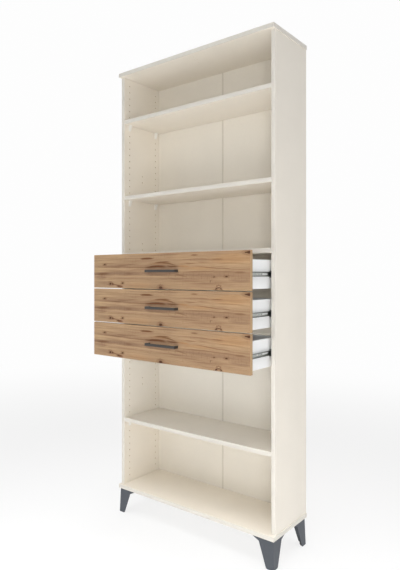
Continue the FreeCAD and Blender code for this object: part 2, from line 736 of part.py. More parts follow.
def main():
    """Write every node of the bookcase."""
    os.makedirs("parts", exist_ok=True)
    write_case()
    write_legs()
    axes = [row_height(row) for row in DRAWER_ROWS]
    for number, axis in zip(DRAWER_NUMBERS, axes):
        write_drawer(number, axis)
    seats = [seat for axis in axes for seat in outer_screw_seats(axis)]
    outer_screws = [screw(seat, Vector(1, 0, 0), OUTER_SCREW) for seat in seats]
    write("runner_case_screws", both_sides(outer_screws))


main()
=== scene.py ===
"""Bookcase with three drawers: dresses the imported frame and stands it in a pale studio.

Everything is in metres, +Z up, front towards -Y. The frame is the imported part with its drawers
standing open; each visible board, fitting and leg is a finished piece that takes its size and its
place from the node that it stands for. Run the file as a script: main() registers the operators
and calls them in order.
"""
import json
import math
from functools import cache

import bmesh
import bpy
from bpy.props import FloatProperty, FloatVectorProperty, IntProperty, PointerProperty
from mathutils import Matrix, Vector

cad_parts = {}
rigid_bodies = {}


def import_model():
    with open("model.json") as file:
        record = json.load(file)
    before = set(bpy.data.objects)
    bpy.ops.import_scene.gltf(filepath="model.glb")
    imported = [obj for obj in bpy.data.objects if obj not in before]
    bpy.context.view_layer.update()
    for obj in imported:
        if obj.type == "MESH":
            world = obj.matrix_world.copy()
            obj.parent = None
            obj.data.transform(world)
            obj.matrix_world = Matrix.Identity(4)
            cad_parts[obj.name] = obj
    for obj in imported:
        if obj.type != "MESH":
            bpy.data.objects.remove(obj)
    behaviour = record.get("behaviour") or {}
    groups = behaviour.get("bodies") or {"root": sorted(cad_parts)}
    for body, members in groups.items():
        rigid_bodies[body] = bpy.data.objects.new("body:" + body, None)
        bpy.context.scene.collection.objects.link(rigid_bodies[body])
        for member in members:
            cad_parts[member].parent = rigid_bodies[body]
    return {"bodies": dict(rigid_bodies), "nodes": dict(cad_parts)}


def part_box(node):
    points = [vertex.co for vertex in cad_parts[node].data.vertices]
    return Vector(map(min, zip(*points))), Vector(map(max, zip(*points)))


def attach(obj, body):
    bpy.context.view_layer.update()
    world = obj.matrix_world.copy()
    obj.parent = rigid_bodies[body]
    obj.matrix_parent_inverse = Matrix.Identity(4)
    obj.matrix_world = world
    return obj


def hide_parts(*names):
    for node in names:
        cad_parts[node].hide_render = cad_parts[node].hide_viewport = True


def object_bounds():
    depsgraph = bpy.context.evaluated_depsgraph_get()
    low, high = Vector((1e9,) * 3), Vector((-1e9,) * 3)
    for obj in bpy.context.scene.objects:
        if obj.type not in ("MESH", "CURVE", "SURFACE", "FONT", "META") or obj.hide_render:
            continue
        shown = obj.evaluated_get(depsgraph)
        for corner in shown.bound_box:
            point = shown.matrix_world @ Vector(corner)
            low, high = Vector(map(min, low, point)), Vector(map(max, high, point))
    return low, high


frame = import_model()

bl_info = {
    "name": "Bookcase with drawers",
    "version": (1, 0, 0),
    "blender": (4, 5, 0),
    "location": "View3D > Sidebar > Bookcase",
    "description": "Laminated case, oak drawer fronts, steel legs and ball runners, and a studio",
    "category": "Object",
}

CAD_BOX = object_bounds()
MM = 0.001
RIGHT, REAR, UP = Vector((1, 0, 0)), Vector((0, 1, 0)), Vector((0, 0, 1))
DRAWERS = [body for body in frame["bodies"] if body.startswith("drawer")]


def shade(red, green, blue):
    """A colour given on the 0 to 255 scale of a screen, on Blender's linear scale."""
    def linear(level):
        level /= 255
        return level / 12.92 if level <= 0.04045 else ((level + 0.055) / 1.055) ** 2.4
    return linear(red), linear(green), linear(blue)


# ---------------------------------------------------------------- settings
def measure(name, description, millimetres):
    """A length that a user can set."""
    return FloatProperty(name=name, description=description, default=millimetres * MM,
                         unit="LENGTH", precision=5)


def colour(name, description, red, green, blue):
    """A colour that a user can set, with its default on the screen scale."""
    return FloatVectorProperty(name=name, description=description, subtype="COLOR", size=3,
                               min=0, max=1, default=shade(red, green, blue))


def lamp_power(name, description, watts):
    """The power of a lamp, which a user can set."""
    return FloatProperty(name=name, description=description, default=watts, min=0, unit="POWER")


class BookcaseBoards(bpy.types.PropertyGroup):
    """Boards of the case and of the drawers."""

    arris: measure("Arris", "Rounding along the edges of the case's boards", 0.8)
    back_arris: measure("Back arris", "Rounding along the edges of the back and its strip", 0.2)
    side_arris: measure("Drawer side arris", "Rounding along the edges of the drawer sides", 0.5)
    panel_arris: measure("Drawer panel arris", "Rounding of the drawers' backs and bottoms", 0.4)
    support_arris: measure("Support arris", "Rounding along the edges of the shelf supports", 0.5)
    bore: measure("Bore", "Diameter of the line boring", 5.2)
    bore_depth: measure("Bore depth", "Depth of the line boring", 12)
    bore_pitch: measure("Bore pitch", "Distance between two rows of the line boring", 32)
    bore_margin: measure("Bore margin", "End of a side to its nearest row", 35)
    front_setback: measure("Front column", "Front edge of a side to the front column", 37)
    rear_setback: measure("Rear column", "Rear edge of a side to the rear column", 41)
    joint_setback: measure("Joint bores", "Front edge of a side to the bores for joining cases", 129)
    pilot: measure("Pilot hole", "Diameter of the pilot holes for a lamp under the top", 2.6)
    pilot_depth: measure("Pilot depth", "Depth of the pilot holes", 8)
    groove_play: measure("Groove play", "Clearance of the back in its groove", 0.2)
    laminate: colour("Laminate", "Faces of the case", 243, 236, 224)
    band: colour("Edge band", "Banded edges of the case", 228, 223, 213)
    core: colour("Core", "Chipboard inside the bores", 196, 178, 148)
    back: colour("Back", "Lacquered face of the back", 240, 234, 222)
    fibre: colour("Fibre", "Raw rear face of the back", 150, 112, 76)
    white: colour("Drawer board", "Boards of the drawer boxes", 248, 249, 249)


class BookcaseOak(bpy.types.PropertyGroup):
    """Rustic oak of the drawer fronts."""

    arris: measure("Arris", "Rounding along the edges of the fronts", 0.4)
    light: colour("Light", "Palest bands of the oak", 194, 163, 124)
    middle: colour("Middle", "Main tone of the oak", 169, 138, 106)
    heart: colour("Heartwood", "Greyish bands", 136, 106, 83)
    amber: colour("Amber", "Resin-coloured bands", 184, 136, 84)
    dark: colour("Dark", "Late wood and mineral streaks", 108, 66, 36)
    knot: colour("Knot", "Hearts of the knots and cracks", 74, 40, 15)


# Upper row of each pair of bores for joining cases, counted down the line boring from 0
JOINT_ROWS = (14, 25, 36, 47)

# Pilot holes under the top in mm: from the middle, and back from the front edges of the sides
PILOT_HOLES = ((7, 16), (-9, 47), (3.5, 50), (-15, 82), (-12, 170), (9, 170))

# Marks of the oak in mm and degrees: place along the front and up it, half length, half height,
# turn, and strength
# In the first table the marks at 420 along and 70 up and at 450 along and 80 up lie round and under the
# handle: they are partly painted shadow of the handle
HEARTWOOD_AND_HANDLE_SHADOW = ((640, 57, 190, 24, -2, 0.7), (800, 58, 190, 24, 0, 0.6), (70, 66, 140, 14, 0, 0.9),
             (230, 66, 170, 13, 0, 0.9), (420, 70, 190, 15, 0, 1.0), (430, 95, 210, 24, 0, 0.45),
             (300, 128, 230, 26, 0, 0.45), (190, 102, 220, 14, 0, 0.5), (560, 44, 170, 14, -3, 0.65),
             (330, 44, 320, 13, 0, 0.5), (845, 41, 90, 15, 0, 0.7), (200, 70, 240, 15, 0, 0.85),
             (680, 36, 170, 20, 0, 0.45), (45, 48, 60, 16, 0, 0.6), (460, 142, 90, 16, 0, 0.4),
             (450, 80, 70, 16, 0, 0.6), (90, 22, 80, 14, 0, 0.4))
AMBER = ((560, 96, 45, 7, 0, 0.6), (640, 88, 120, 9, 0, 0.35), (800, 122, 150, 22, 0, 0.4),
         (820, 138, 120, 12, 0, 0.3), (300, 14, 120, 12, 0, 0.2), (430, 103, 90, 8, 0, 0.45))
STREAKS = (
    (348, 131, 54, 5, 0, 2.0), (300, 131, 60, 2.5, 1, 0.4), (75, 110, 22, 4, 0, 0.75),
    (100, 115, 60, 3.5, -2, 0.35), (195, 105, 50, 4.5, 0, 0.5), (250, 108, 90, 3, 1, 0.4),
    (120, 98, 150, 3.6, 0.5, 0.6), (300, 94, 130, 4, -0.5, 0.7), (395, 93, 95, 4.8, -1, 1.3),
    (500, 94, 46, 4, 1, 0.9), (440, 107, 62, 4.6, 1.5, 1.1), (478, 102, 58, 3.4, -3, 0.9),
    (618, 142, 26, 4.5, 0, 0.8), (650, 125, 140, 3, 0, 0.45), (732, 125, 46, 3.6, 0, 0.65),
    (595, 108, 44, 3.6, 0, 0.6), (665, 113, 46, 3.4, 0, 0.4), (705, 90, 120, 3, -3.5, 0.6),
    (775, 86, 38, 3.5, -3.5, 0.6), (842, 71, 42, 6, 0, 0.6), (60, 66, 64, 8, 2, 0.7),
    (237, 67, 34, 7, 0, 0.5), (545, 58, 50, 4, -12, 0.5), (146, 14, 34, 3.4, -16, 1.0),
    (178, 8, 30, 6, -4, 1.2), (640, 73, 130, 3, 0, 0.6), (190, 20, 20, 3, 8, 0.6),
    (760, 72, 120, 3, 0, 0.55), (300, 30, 160, 3, 0, 0.3), (560, 34, 140, 3, 0, 0.4),
    (260, 44, 160, 3, 0, 0.35), (480, 147, 120, 3, 0, 0.3), (800, 108, 90, 3, 0, 0.45),
    (110, 84, 120, 3, 0, 0.25), (400, 146, 200, 2.5, 0, 0.3), (700, 28, 150, 3, 1, 0.4),
    (742, 15, 18, 10, 0, 0.4))
CRACKS = ((515, 56, 1.6, 9, 0, 0.7), (478, 53, 1.6, 6, 0, 0.5), (700, 35, 2.4, 8, 0, 0.9),
          (706, 40, 7, 1.6, 0, 0.6), (742, 20, 1.8, 8, 0, 0.5), (733, 17, 1.8, 8, 25, 0.4),
          (751, 17, 1.8, 8, -25, 0.4), (430, 19, 2, 9, 0, 0.6), (439, 16, 2, 8, -20, 0.6),
          (424, 16, 2, 8, 20, 0.5), (558, 24, 1.6, 10, 0, 0.4), (600, 122, 1.6, 8, 0, 0.3),
          (742, 10.5, 10, 3.8, 0, 1.0))
KNOTS = ((432, 6, 15, 7, 0, 1.0), (730, 6, 9, 4, 30, 0.9), (754, 6, 9, 4, -30, 0.9),
         (114, 20, 9, 6, 0, 0.9), (130, 17, 8, 3.5, -20, 0.7), (197, 24, 9, 5, 0, 0.9),
         (780, 54, 9, 3.4, 0, 0.95), (720, 53, 6, 4, 0, 0.45), (884, 147, 12, 7, 0, 1.0),
         (872, 148, 11, 4, 0, 0.9), (75, 110, 11, 4, 0, 0.5), (168, 8, 12, 3.5, -10, 0.6))


class BookcaseMetal(bpy.types.PropertyGroup):
    """Legs, handles, runners and small fittings."""

    leg_arris: measure("Leg arris", "Rounding along the edges of the leg sheet", 0.5)
    glide_arris: measure("Glide arris", "Rounding along the edges of the glides", 0.6)
    bend: measure("Bend", "Outer radius of the bends of the runners", 1.6)
    track: measure("Track", "Radius of the ball tracks of a drawer member", 3)
    lip_bend: measure("Lip bend", "Radius of the bends at the lips of a drawer member", 0.6)
    handle_arris: measure("Handle arris", "Rounding along the edges of the handles", 0.5)
    sheet: measure("Runner sheet", "Sheet thickness of the runners", 1)
    lip: measure("Runner lip", "How far a runner's lip stands over its ball track", 1.1)
    spare_hole: measure("Spare hole", "Front end of a drawer member to its spare hole", 97)
    spare_hole_across: measure("Spare hole width", "Diameter of the spare hole", 5)
    slot_start: measure("Slot start", "Front end of a drawer member to its slot", 112)
    slot_end: measure("Slot end", "Front end of a drawer member to the far end of its slot", 156)
    slot_height: measure("Slot height", "Height of the slot in a drawer member", 6)
    cage_sheet: measure("Cage sheet", "Thickness of the plastic ball cage", 0.8)
    shank: measure("Screw shank", "Diameter of the small screws", 3.6)
    head: measure("Screw head", "Height of the heads of the small screws", 1)
    case_shank: measure("Case screw shank", "Diameter of the long screws of the case", 6)
    case_head: measure("Case screw head", "Height of the heads of the long screws", 4)
    hole_play: measure("Hole play", "Clearance round a screw, a dowel or a cam", 0.1)
    window: FloatProperty(name="Cage window", description="Width of a window, as a share of its ball",
                          default=0.85, min=0, max=1)
    balls: IntProperty(name="Balls", description="Balls in each row of a cage", default=9, min=1)
    powder: colour("Powder coat", "Legs", 84, 88, 95)
    grip: colour("Handle powder coat", "Handles", 64, 61, 58)
    zinc: colour("Zinc", "Runners", 172, 175, 172)
    # Zinc of the lips of the runners, darker as painted shade along their edges
    oiled: colour("Zinc with painted lip shade", "Lips of the runners, darker as painted shade", 92, 95, 93)
    nickel: colour("Nickel", "Screws", 222, 220, 214)
    cage: colour("Cage", "Plastic of the ball cages", 34, 35, 38)


class BookcaseStudio(bpy.types.PropertyGroup):
    """Camera, floor and lights."""

    eye: FloatVectorProperty(name="Eye", description="Where the camera stands",
                             default=(1.5384, -1.909, 1.196), subtype="TRANSLATION", unit="LENGTH")
    heading: FloatProperty(name="Heading", description="Turn of the level camera from +Y to -X",
                           default=math.radians(38.23), subtype="ANGLE")
    lens: FloatProperty(name="Lens", description="Focal length on a 36 mm wide sensor, in mm",
                        default=33.59, min=1)
    rise: FloatProperty(name="Rise", description="Upward shift of the view, as a share of it",
                        default=-0.0181)
    floor: colour("Floor", "Pale floor", 250, 250, 250)
    seen: FloatProperty(name="Background", description="Level at which the background is seen",
                        default=0.985, min=0, max=1)
    sky: FloatProperty(name="Sky", description="Strength of the even light", default=0.4, min=0)
    front: lamp_power("Front lamp", "Power of the broad lamp in front on the right", 36)
    high: lamp_power("High lamp", "Power of the lamp high in front", 5)
    side: lamp_power("Side lamp", "Power of the lamp on the left", 12)
    over_front: lamp_power("Front floor lamp", "Power of the lamp over the floor in front", 41)
    over_side: lamp_power("Side floor lamp", "Power of the lamp over the floor on the right", 18)
    over_top: lamp_power("Top lamp", "Power of the lamp over the top of the case", 3)
    behind: lamp_power("Back lamp", "Power of the broad lamp behind", 40)


# ---------------------------------------------------------------- shaders
class Nodes:
    """A node tree in the making; a value is a number, a colour or another node's socket."""

    def __init__(self, tree):
        self.tree = tree

    def feed(self, socket, value):
        """Links or sets one input."""
        if isinstance(value, bpy.types.NodeSocket):
            self.tree.links.new(value, socket)
        elif socket.type == "RGBA" and len(value) == 3:
            socket.default_value = (*value, 1)
        else:
            socket.default_value = value

    def node(self, kind, inputs=(), **settings):
        """A new node with its inputs fed in order, or by name from a dictionary."""
        made = self.tree.nodes.new("ShaderNode" + kind)
        for key, value in settings.items():
            setattr(made, key, value)
        named = inputs if isinstance(inputs, dict) else dict(enumerate(inputs))
        for key, value in named.items():
            self.feed(made.inputs[key], value)
        return made

    def math(self, operation, *values):
        """A Math node's result."""
        return self.node("Math", values, operation=operation).outputs[0]

    def vector(self, operation, *values):
        """A Vector Math node's first result."""
        return self.node("VectorMath", values, operation=operation).outputs[0]

    def distance(self, place):
        """How far a place lies from the origin."""
        return self.node("VectorMath", (place,), operation="LENGTH").outputs["Value"]

    def between(self, value, low, high, start=0.0, end=1.0):
        """The value eased from start at low to end at high, and held outside."""
        made = self.node("MapRange", (value, low, high, start, end), interpolation_type="SMOOTHSTEP")
        return made.outputs["Result"]


class Shader(Nodes):
    """A material of a piece in the making."""

    def __init__(self, name, space="Object"):
        self.material = bpy.data.materials.new(name)
        self.material.use_nodes = True
        super().__init__(self.material.node_tree)
        self.tree.nodes.clear()
        self.surface = self.node("BsdfPrincipled")
        self.node("OutputMaterial", {"Surface": self.surface.outputs[0]})
        self.place = self.node("TexCoord").outputs[space]

    def scaled(self, x, y, z, place=None):
        """The place, stretched along each axis, so that a pattern has that many features a metre."""
        return self.vector("MULTIPLY", place or self.place, (x, y, z))

    def noise(self, place, detail=2.0, roughness=0.5):
        """Noise between 0 and 1 with one feature to a unit of place."""
        inputs = {"Vector": place, "Scale": 1.0, "Detail": detail, "Roughness": roughness}
        return self.node("TexNoise", inputs).outputs["Fac"]

    def blend(self, first, second, share):
        """Two values added, the first times its share and the second times the rest."""
        first, second = self.math("MULTIPLY", first, share), self.math("MULTIPLY", second, 1 - share)
        return self.math("ADD", first, second)

    def mix(self, share, first, second):
        """Two colours mixed by a share from 0 to 1."""
        made = self.node("Mix", {"Factor": share}, data_type="RGBA")
        for socket, tone in zip([s for s in made.inputs if s.type == "RGBA"], (first, second)):
            self.feed(socket, tone)
        return [s for s in made.outputs if s.type == "RGBA"][0]

    def mark(self, place, along, up, half_length, half_height, turn):
        """1 in the middle of an oval and 0 outside it; sizes in mm, turn in degrees."""
        oval = self.node("Mapping", {
            "Vector": place, "Location": (along * MM, up * MM, 0),
            "Rotation": (0, 0, math.radians(turn)), "Scale": (half_length * MM, half_height * MM, 1),
        }, vector_type="TEXTURE")
        return self.between(self.distance(oval.outputs[0]), 0.3, 1, 1, 0)

    def marks(self, place, table):
        """The strongest of several marks, each times its strength."""
        total = 0.0
        for *oval, strength in table:
            total = self.math("MAXIMUM", self.math("MULTIPLY", self.mark(place, *oval), strength), total)
        return total

    def ragged(self, reach, features):
        """The place, shaken both ways by up to half a reach in metres, so that outlines turn ragged."""
        shake = self.node("TexNoise", {"Scale": 1.0, "Detail": 3.0})
        self.feed(shake.inputs["Vector"], self.scaled(features, features, 1))
        moved = self.vector("SUBTRACT", shake.outputs["Color"], (0.5, 0.5, 0.5))
        return self.vector("ADD", self.place, self.vector("MULTIPLY", moved, (reach, reach, 0)))

    def relief(self, height, depth):
        """Bumps of that depth in metres."""
        made = self.node("Bump", {"Strength": 1.0, "Distance": depth, "Height": height})
        self.feed(self.surface.inputs["Normal"], made.outputs[0])

    def finish(self, base, roughness, **others):
        """Feeds the surface and gives the material."""
        self.feed(self.surface.inputs["Base Color"], base)
        self.feed(self.surface.inputs["Roughness"], roughness)
        for name, value in others.items():
            self.feed(self.surface.inputs[name.replace("_", " ")], value)
        return self.material


def toned(base, factor):
    """A lighter or a darker tone of a colour."""
    return tuple(min(1, level * factor) for level in base)


def laminate_of(name, base, depth=0.00003, roughness=0.46):
    """Melamine with a fine pearl grain and the faintest mottling."""
    shader = Shader(name)
    cloud = shader.noise(shader.scaled(9, 9, 9), 3)
    pearl = shader.noise(shader.scaled(700, 700, 700), 3, 0.6)
    tone = shader.blend(cloud, pearl, 0.7)
    face = shader.mix(shader.between(tone, 0.35, 0.65), toned(base, 0.98), base)
    shader.relief(pearl, depth)
    return shader.finish(face, shader.between(pearl, 0.3, 0.7, roughness - 0.05, roughness + 0.05))


@cache
def laminate():
    return laminate_of("case laminate", bpy.context.scene.bookcase_boards.laminate)


@cache
def white_laminate():
    return laminate_of("white laminate", bpy.context.scene.bookcase_boards.white)


def band_of(name, base):
    """Plastic edge band: smoother than the face, with fine lines drawn along the edge."""
    shader = Shader(name)
    drawn = shader.noise(shader.scaled(60, 1400, 60), 2)
    dimple = shader.noise(shader.scaled(420, 420, 420), 2)
    face = shader.mix(shader.between(dimple, 0.3, 0.7), toned(base, 0.975), base)
    shader.relief(shader.math("ADD", drawn, dimple), 0.00002)
    return shader.finish(face, shader.between(dimple, 0.3, 0.7, 0.32, 0.4))


@cache
def edge_band():
    return band_of("case edge band", bpy.context.scene.bookcase_boards.band)


@cache
def white_band():
    return band_of("white edge band", bpy.context.scene.bookcase_boards.white)


def flakes_of(name, base, size, contrast, depth):
    """Pressed chips or fibres: small patches of many tones."""
    shader = Shader(name)
    warp = shader.noise(shader.scaled(size, size, size), 2)
    cells = shader.node("TexVoronoi", {"Vector": shader.scaled(size * 1.4, size * 1.4, size), "Scale": 1.0})
    speck = shader.node("SeparateColor", (cells.outputs["Color"],)).outputs[0]
    tone = shader.blend(speck, warp, 0.5)
    face = shader.mix(tone, toned(base, 1 - contrast), toned(base, 1 + contrast))
    shader.relief(tone, depth)
    return shader.finish(face, shader.between(tone, 0, 1, 0.9, 0.75))


@cache
def core():
    return flakes_of("chipboard core", bpy.context.scene.bookcase_boards.core, 900, 0.35, 0.0001)


@cache
def raw_fibre():
    return flakes_of("raw fibreboard", bpy.context.scene.bookcase_boards.fibre, 1300, 0.2, 0.00005)


@cache
def back_lacquer():
    """Rolled lacquer on fibreboard, a little uneven over the fibres."""
    base = bpy.context.scene.bookcase_boards.back
    shader = Shader("back lacquer")
    cloud = shader.noise(shader.scaled(5, 5, 3), 3)
    roller = shader.noise(shader.scaled(420, 420, 60), 3)
    tone = shader.blend(cloud, roller, 0.6)
    face = shader.mix(shader.between(tone, 0.35, 0.65), toned(base, 0.96), base)
    shader.relief(roller, 0.00003)
    return shader.finish(face, shader.between(roller, 0.3, 0.7, 0.5, 0.62))


def powder_of(name, base):
    """Fine-textured powder coat on steel."""
    shader = Shader(name)
    grain = shader.noise(shader.scaled(1600, 1600, 1600), 3, 0.6)
    cloud = shader.noise(shader.scaled(30, 30, 30), 2)
    tone = shader.blend(grain, cloud, 0.7)
    face = shader.mix(tone, toned(base, 0.82), toned(base, 1.16))
    shader.relief(grain, 0.00012)
    return shader.finish(face, shader.between(grain, 0.3, 0.7, 0.42, 0.56), Metallic=0.25)


@cache
def powder_coat():
    return powder_of("anthracite powder coat", bpy.context.scene.bookcase_metal.powder)


@cache
def handle_coat():
    return powder_of("dark handle coat", bpy.context.scene.bookcase_metal.grip)


def bright_metal_of(name, base, along, roughness):
    """Plated steel with rolling lines along one axis; along holds features a metre."""
    shader = Shader(name)
    lines = shader.noise(shader.scaled(*along), 3)
    cloud = shader.noise(shader.scaled(45, 45, 45), 3)
    face = shader.mix(shader.between(cloud, 0.3, 0.7), toned(base, 0.86), base)
    shader.relief(lines, 0.00002)
    spread = shader.math("ADD", shader.math("MULTIPLY", lines, 0.14), roughness - 0.07)
    return shader.finish(face, spread, Metallic=1.0)


@cache
def zinc():
    return bright_metal_of("zinc plate", bpy.context.scene.bookcase_metal.zinc, (2200, 30, 2200), 0.34)


# Darker zinc for the lips of the runners: painted shade
@cache
def lip_shade_zinc():
    return bright_metal_of("oiled zinc", bpy.context.scene.bookcase_metal.oiled, (2200, 30, 2200), 0.3)


@cache
def nickel():
    return bright_metal_of("nickel plate", bpy.context.scene.bookcase_metal.nickel, (900, 900, 900), 0.24)


@cache
def ball_steel():
    return bright_metal_of("ball steel", shade(205, 207, 210), (60, 60, 60), 0.16)


@cache
def cast_zinc():
    return bright_metal_of("cast zinc", shade(196, 196, 193), (700, 700, 700), 0.45)


def plastic_of(name, base, roughness, depth):
    """Moulded plastic with a slight leathery surface."""
    shader = Shader(name)
    skin = shader.noise(shader.scaled(900, 900, 900), 3)
    cloud = shader.noise(shader.scaled(60, 60, 60), 2)
    face = shader.mix(cloud, toned(base, 0.93), toned(base, 1.04))
    shader.relief(skin, depth)
    return shader.finish(face, shader.between(skin, 0.3, 0.7, roughness - 0.06, roughness + 0.06))


@cache
def cage_plastic():
    return plastic_of("cage plastic", bpy.context.scene.bookcase_metal.cage, 0.4, 0.00003)


@cache
def support_plastic():
    return plastic_of("support plastic", shade(252, 250, 245), 0.35, 0.00002)


@cache
def strip_plastic():
    return plastic_of("strip plastic", shade(222, 215, 201), 0.4, 0.00002)


@cache
def glide_plastic():
    return plastic_of("glide plastic", shade(48, 50, 54), 0.5, 0.00005)


@cache
def beech():
    """Fluted beech of the dowels, its fibres upright."""
    shader = Shader("beech")
    fibre = shader.noise(shader.scaled(1500, 1500, 90), 3)
    shader.relief(fibre, 0.0001)
    face = shader.mix(fibre, shade(176, 132, 92), shade(214, 178, 138))
    return shader.finish(face, 0.6)


# ---------------------------------------------------------------- shapes
# Widest angle, in degrees, between two faces that shade as one surface
FOLDED, TURNED, BALL = 40, 35, 80


def merged(node):
    """A copy of a node's mesh with its triangles joined into whole faces."""
    bm = bmesh.new()
    bm.from_mesh(frame["nodes"][node].data)
    bmesh.ops.remove_doubles(bm, verts=bm.verts, dist=0.01 * MM)
    bmesh.ops.dissolve_limit(bm, angle_limit=math.radians(1), verts=bm.verts, edges=bm.edges)
    return bm


def islands(bm):
    """The vertices of each separate solid, as lists."""
    left = set(bm.verts)
    found = []
    while left:
        group, border = set(), [next(iter(left))]
        while border:
            vert = border.pop()
            if vert in group:
                continue
            group.add(vert)
            border += [edge.other_vert(vert) for edge in vert.link_edges]
        left -= group
        found.append(list(group))
    return found


def corners(verts):
    """Lowest and highest corner of some vertices."""
    points = [vert.co for vert in verts]
    return tuple(Vector([end(point[i] for point in points) for i in range(3)]) for end in (min, max))


def solids(node):
    """(lowest, highest) corner of each solid of a node, from left to right and from low to high."""
    bm = merged(node)
    boxes = [corners(group) for group in islands(bm)]
    bm.free()
    return sorted(boxes, key=lambda box: tuple(round(c, 4) for c in (*box[0], *box[1])))


def box_mesh(low, high):
    """A plain box between two corners."""
    bm = bmesh.new()
    low, high = Vector(low), Vector(high)
    place = Matrix.Translation((low + high) / 2) @ Matrix.Diagonal((*(high - low), 1))
    bmesh.ops.create_cube(bm, size=1, matrix=place)
    return bm


def rod_mesh(start, along, radius, segments=20):
    """A round rod from a point along a vector."""
    bm = bmesh.new()
    turn = UP.rotation_difference(along).to_matrix().to_4x4()
    place = Matrix.Translation(start + along / 2) @ turn
    bmesh.ops.create_cone(bm, cap_ends=True, segments=segments, radius1=radius, radius2=radius,
                          depth=along.length, matrix=place)
    return bm


def joined(parts):
    """Several bmeshes in one."""
    whole = bmesh.new()
    for part in parts:
        scratch = bpy.data.meshes.new("scratch")
        part.to_mesh(scratch)
        part.free()
        whole.from_mesh(scratch)
        bpy.data.meshes.remove(scratch)
    return whole


def rounded(bm, edges, radius, segments=2):
    """Rounds some edges."""
    bmesh.ops.bevel(bm, geom=list(edges), offset=radius, offset_type="OFFSET", segments=segments,
                    profile=0.5, affect="EDGES", clamp_overlap=True, material=-1)


def outer_edges(bm):
    """The edges along the outside corners of a board."""
    box = corners(bm.verts)
    near = 0.02 * MM

    def planes(vert):
        sides = [(axis, end) for axis in range(3) for end in (0, 1)]
        return {(axis, end) for axis, end in sides if abs(vert.co[axis] - box[end][axis]) < near}
    return [edge for edge in bm.edges if len(planes(edge.verts[0]) & planes(edge.verts[1])) == 2]


def sharp_edges(bm):
    """The outward edges where two faces meet at a marked angle."""
    least = math.radians(35)
    return [edge for edge in bm.edges
            if len(edge.link_faces) == 2 and edge.calc_face_angle_signed(0) > least]


def less(bm, cutters):
    """A solid less its cutters, whose new faces keep their material index, which is 0, 1 or 2."""
    holders = []
    for part in (bm, joined(cutters)):
        mesh = bpy.data.meshes.new("scratch")
        part.to_mesh(mesh)
        part.free()
        for _ in range(3):
            mesh.materials.append(None)
        holder = bpy.data.objects.new("scratch", mesh)
        bpy.context.scene.collection.objects.link(holder)
        holders.append(holder)
    body, tool = holders
    boolean = body.modifiers.new("cut", "BOOLEAN")
    boolean.operation = "DIFFERENCE"
    boolean.solver = "EXACT"
    boolean.object = tool
    graph = bpy.context.evaluated_depsgraph_get()
    mesh = bpy.data.meshes.new_from_object(body.evaluated_get(graph))
    result = bmesh.new()
    result.from_mesh(mesh)
    bpy.data.meshes.remove(mesh)
    for holder in holders:
        used = holder.data
        bpy.data.objects.remove(holder)
        bpy.data.meshes.remove(used)
    return result


def piece(name, bm, body, materials, replaced=(), smooth=None):
    """A finished object that rides on a body and stands for some nodes."""
    mesh = bpy.data.meshes.new(name)
    bm.to_mesh(mesh)
    bm.free()
    for material in materials:
        mesh.materials.append(material())
    made = bpy.data.objects.new(name, mesh)
    bpy.context.scene.collection.objects.link(made)
    if smooth:
        mesh.shade_smooth()
        mesh.set_sharp_from_angle(angle=math.radians(smooth))
        weights = made.modifiers.new("flat faces stay flat", "WEIGHTED_NORMAL")
        weights.keep_sharp = True
    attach(made, body)
    if replaced:
        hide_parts(*replaced)


def softened(name, node, body, material, radius, smooth=None):
    """A piece in the shape of its node, with its sharp edges rounded."""
    bm = merged(node)
    rounded(bm, sharp_edges(bm), radius)
    piece(name, bm, body, [material], [node], smooth)


def board(name, node, body, materials, arris, banded, cutters=()):
    """A board with softened edges: plain less its cutters, or with the cuts that its node has.

    The faces that look in the banded directions take the second material.
    """
    bm = box_mesh(*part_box(node)) if cutters else merged(node)
    rounded(bm, outer_edges(bm), arris, 3)
    bm.normal_update()
    for face in bm.faces:
        face.material_index = int(any(face.normal.dot(way) > 0.6 for way in banded))
    if cutters:
        bm = less(bm, cutters)
    piece(name, bm, body, materials, [node])


def raw(bm):
    """A cutter that leaves raw board behind it, the third material of a board."""
    for face in bm.faces:
        face.material_index = 2
    return bm


def bore(low, high, way, radius):
    """A round cutter along one direction, through the middle of the box between two corners."""
    past = 0.1 * MM
    reach = way * ((high - low).dot(way) / 2 + past)
    return raw(rod_mesh((low + high) / 2 - reach, reach * 2, radius))


def blind_bore(mouth, way, depth, radius):
    """A round cutter that enters a face at its mouth and ends at a depth."""
    outside = 1 * MM
    return raw(rod_mesh(mouth - way * outside, way * (depth + outside), radius))


def groove(node):
    """The cutter of the groove that a thin panel stands in."""
    play = Vector((bpy.context.scene.bookcase_boards.groove_play,) * 3)
    low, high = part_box(node)
    return raw(box_mesh(low - play, high + play))


def joints(low, high):
    """Cutters for the screws and dowels that enter a board of the case, which lies or stands."""
    metal = bpy.context.scene.bookcase_metal
    stands = high.z - low.z > high.x - low.x
    cutters = []
    for node in ("case_screws", "case_dowels"):
        for a, b in solids(node):
            if not low.x < (a.x + b.x) / 2 < high.x or a.z > high.z or b.z < low.z:
                continue
            a.z, b.z = max(a.z, low.z), min(b.z, high.z)
            only_shank = stands and node == "case_screws"
            across = metal.case_shank if only_shank else min((b - a).x, (b - a).y)
            cutters.append(bore(a, b, UP, across / 2 + metal.hole_play))
    return cutters


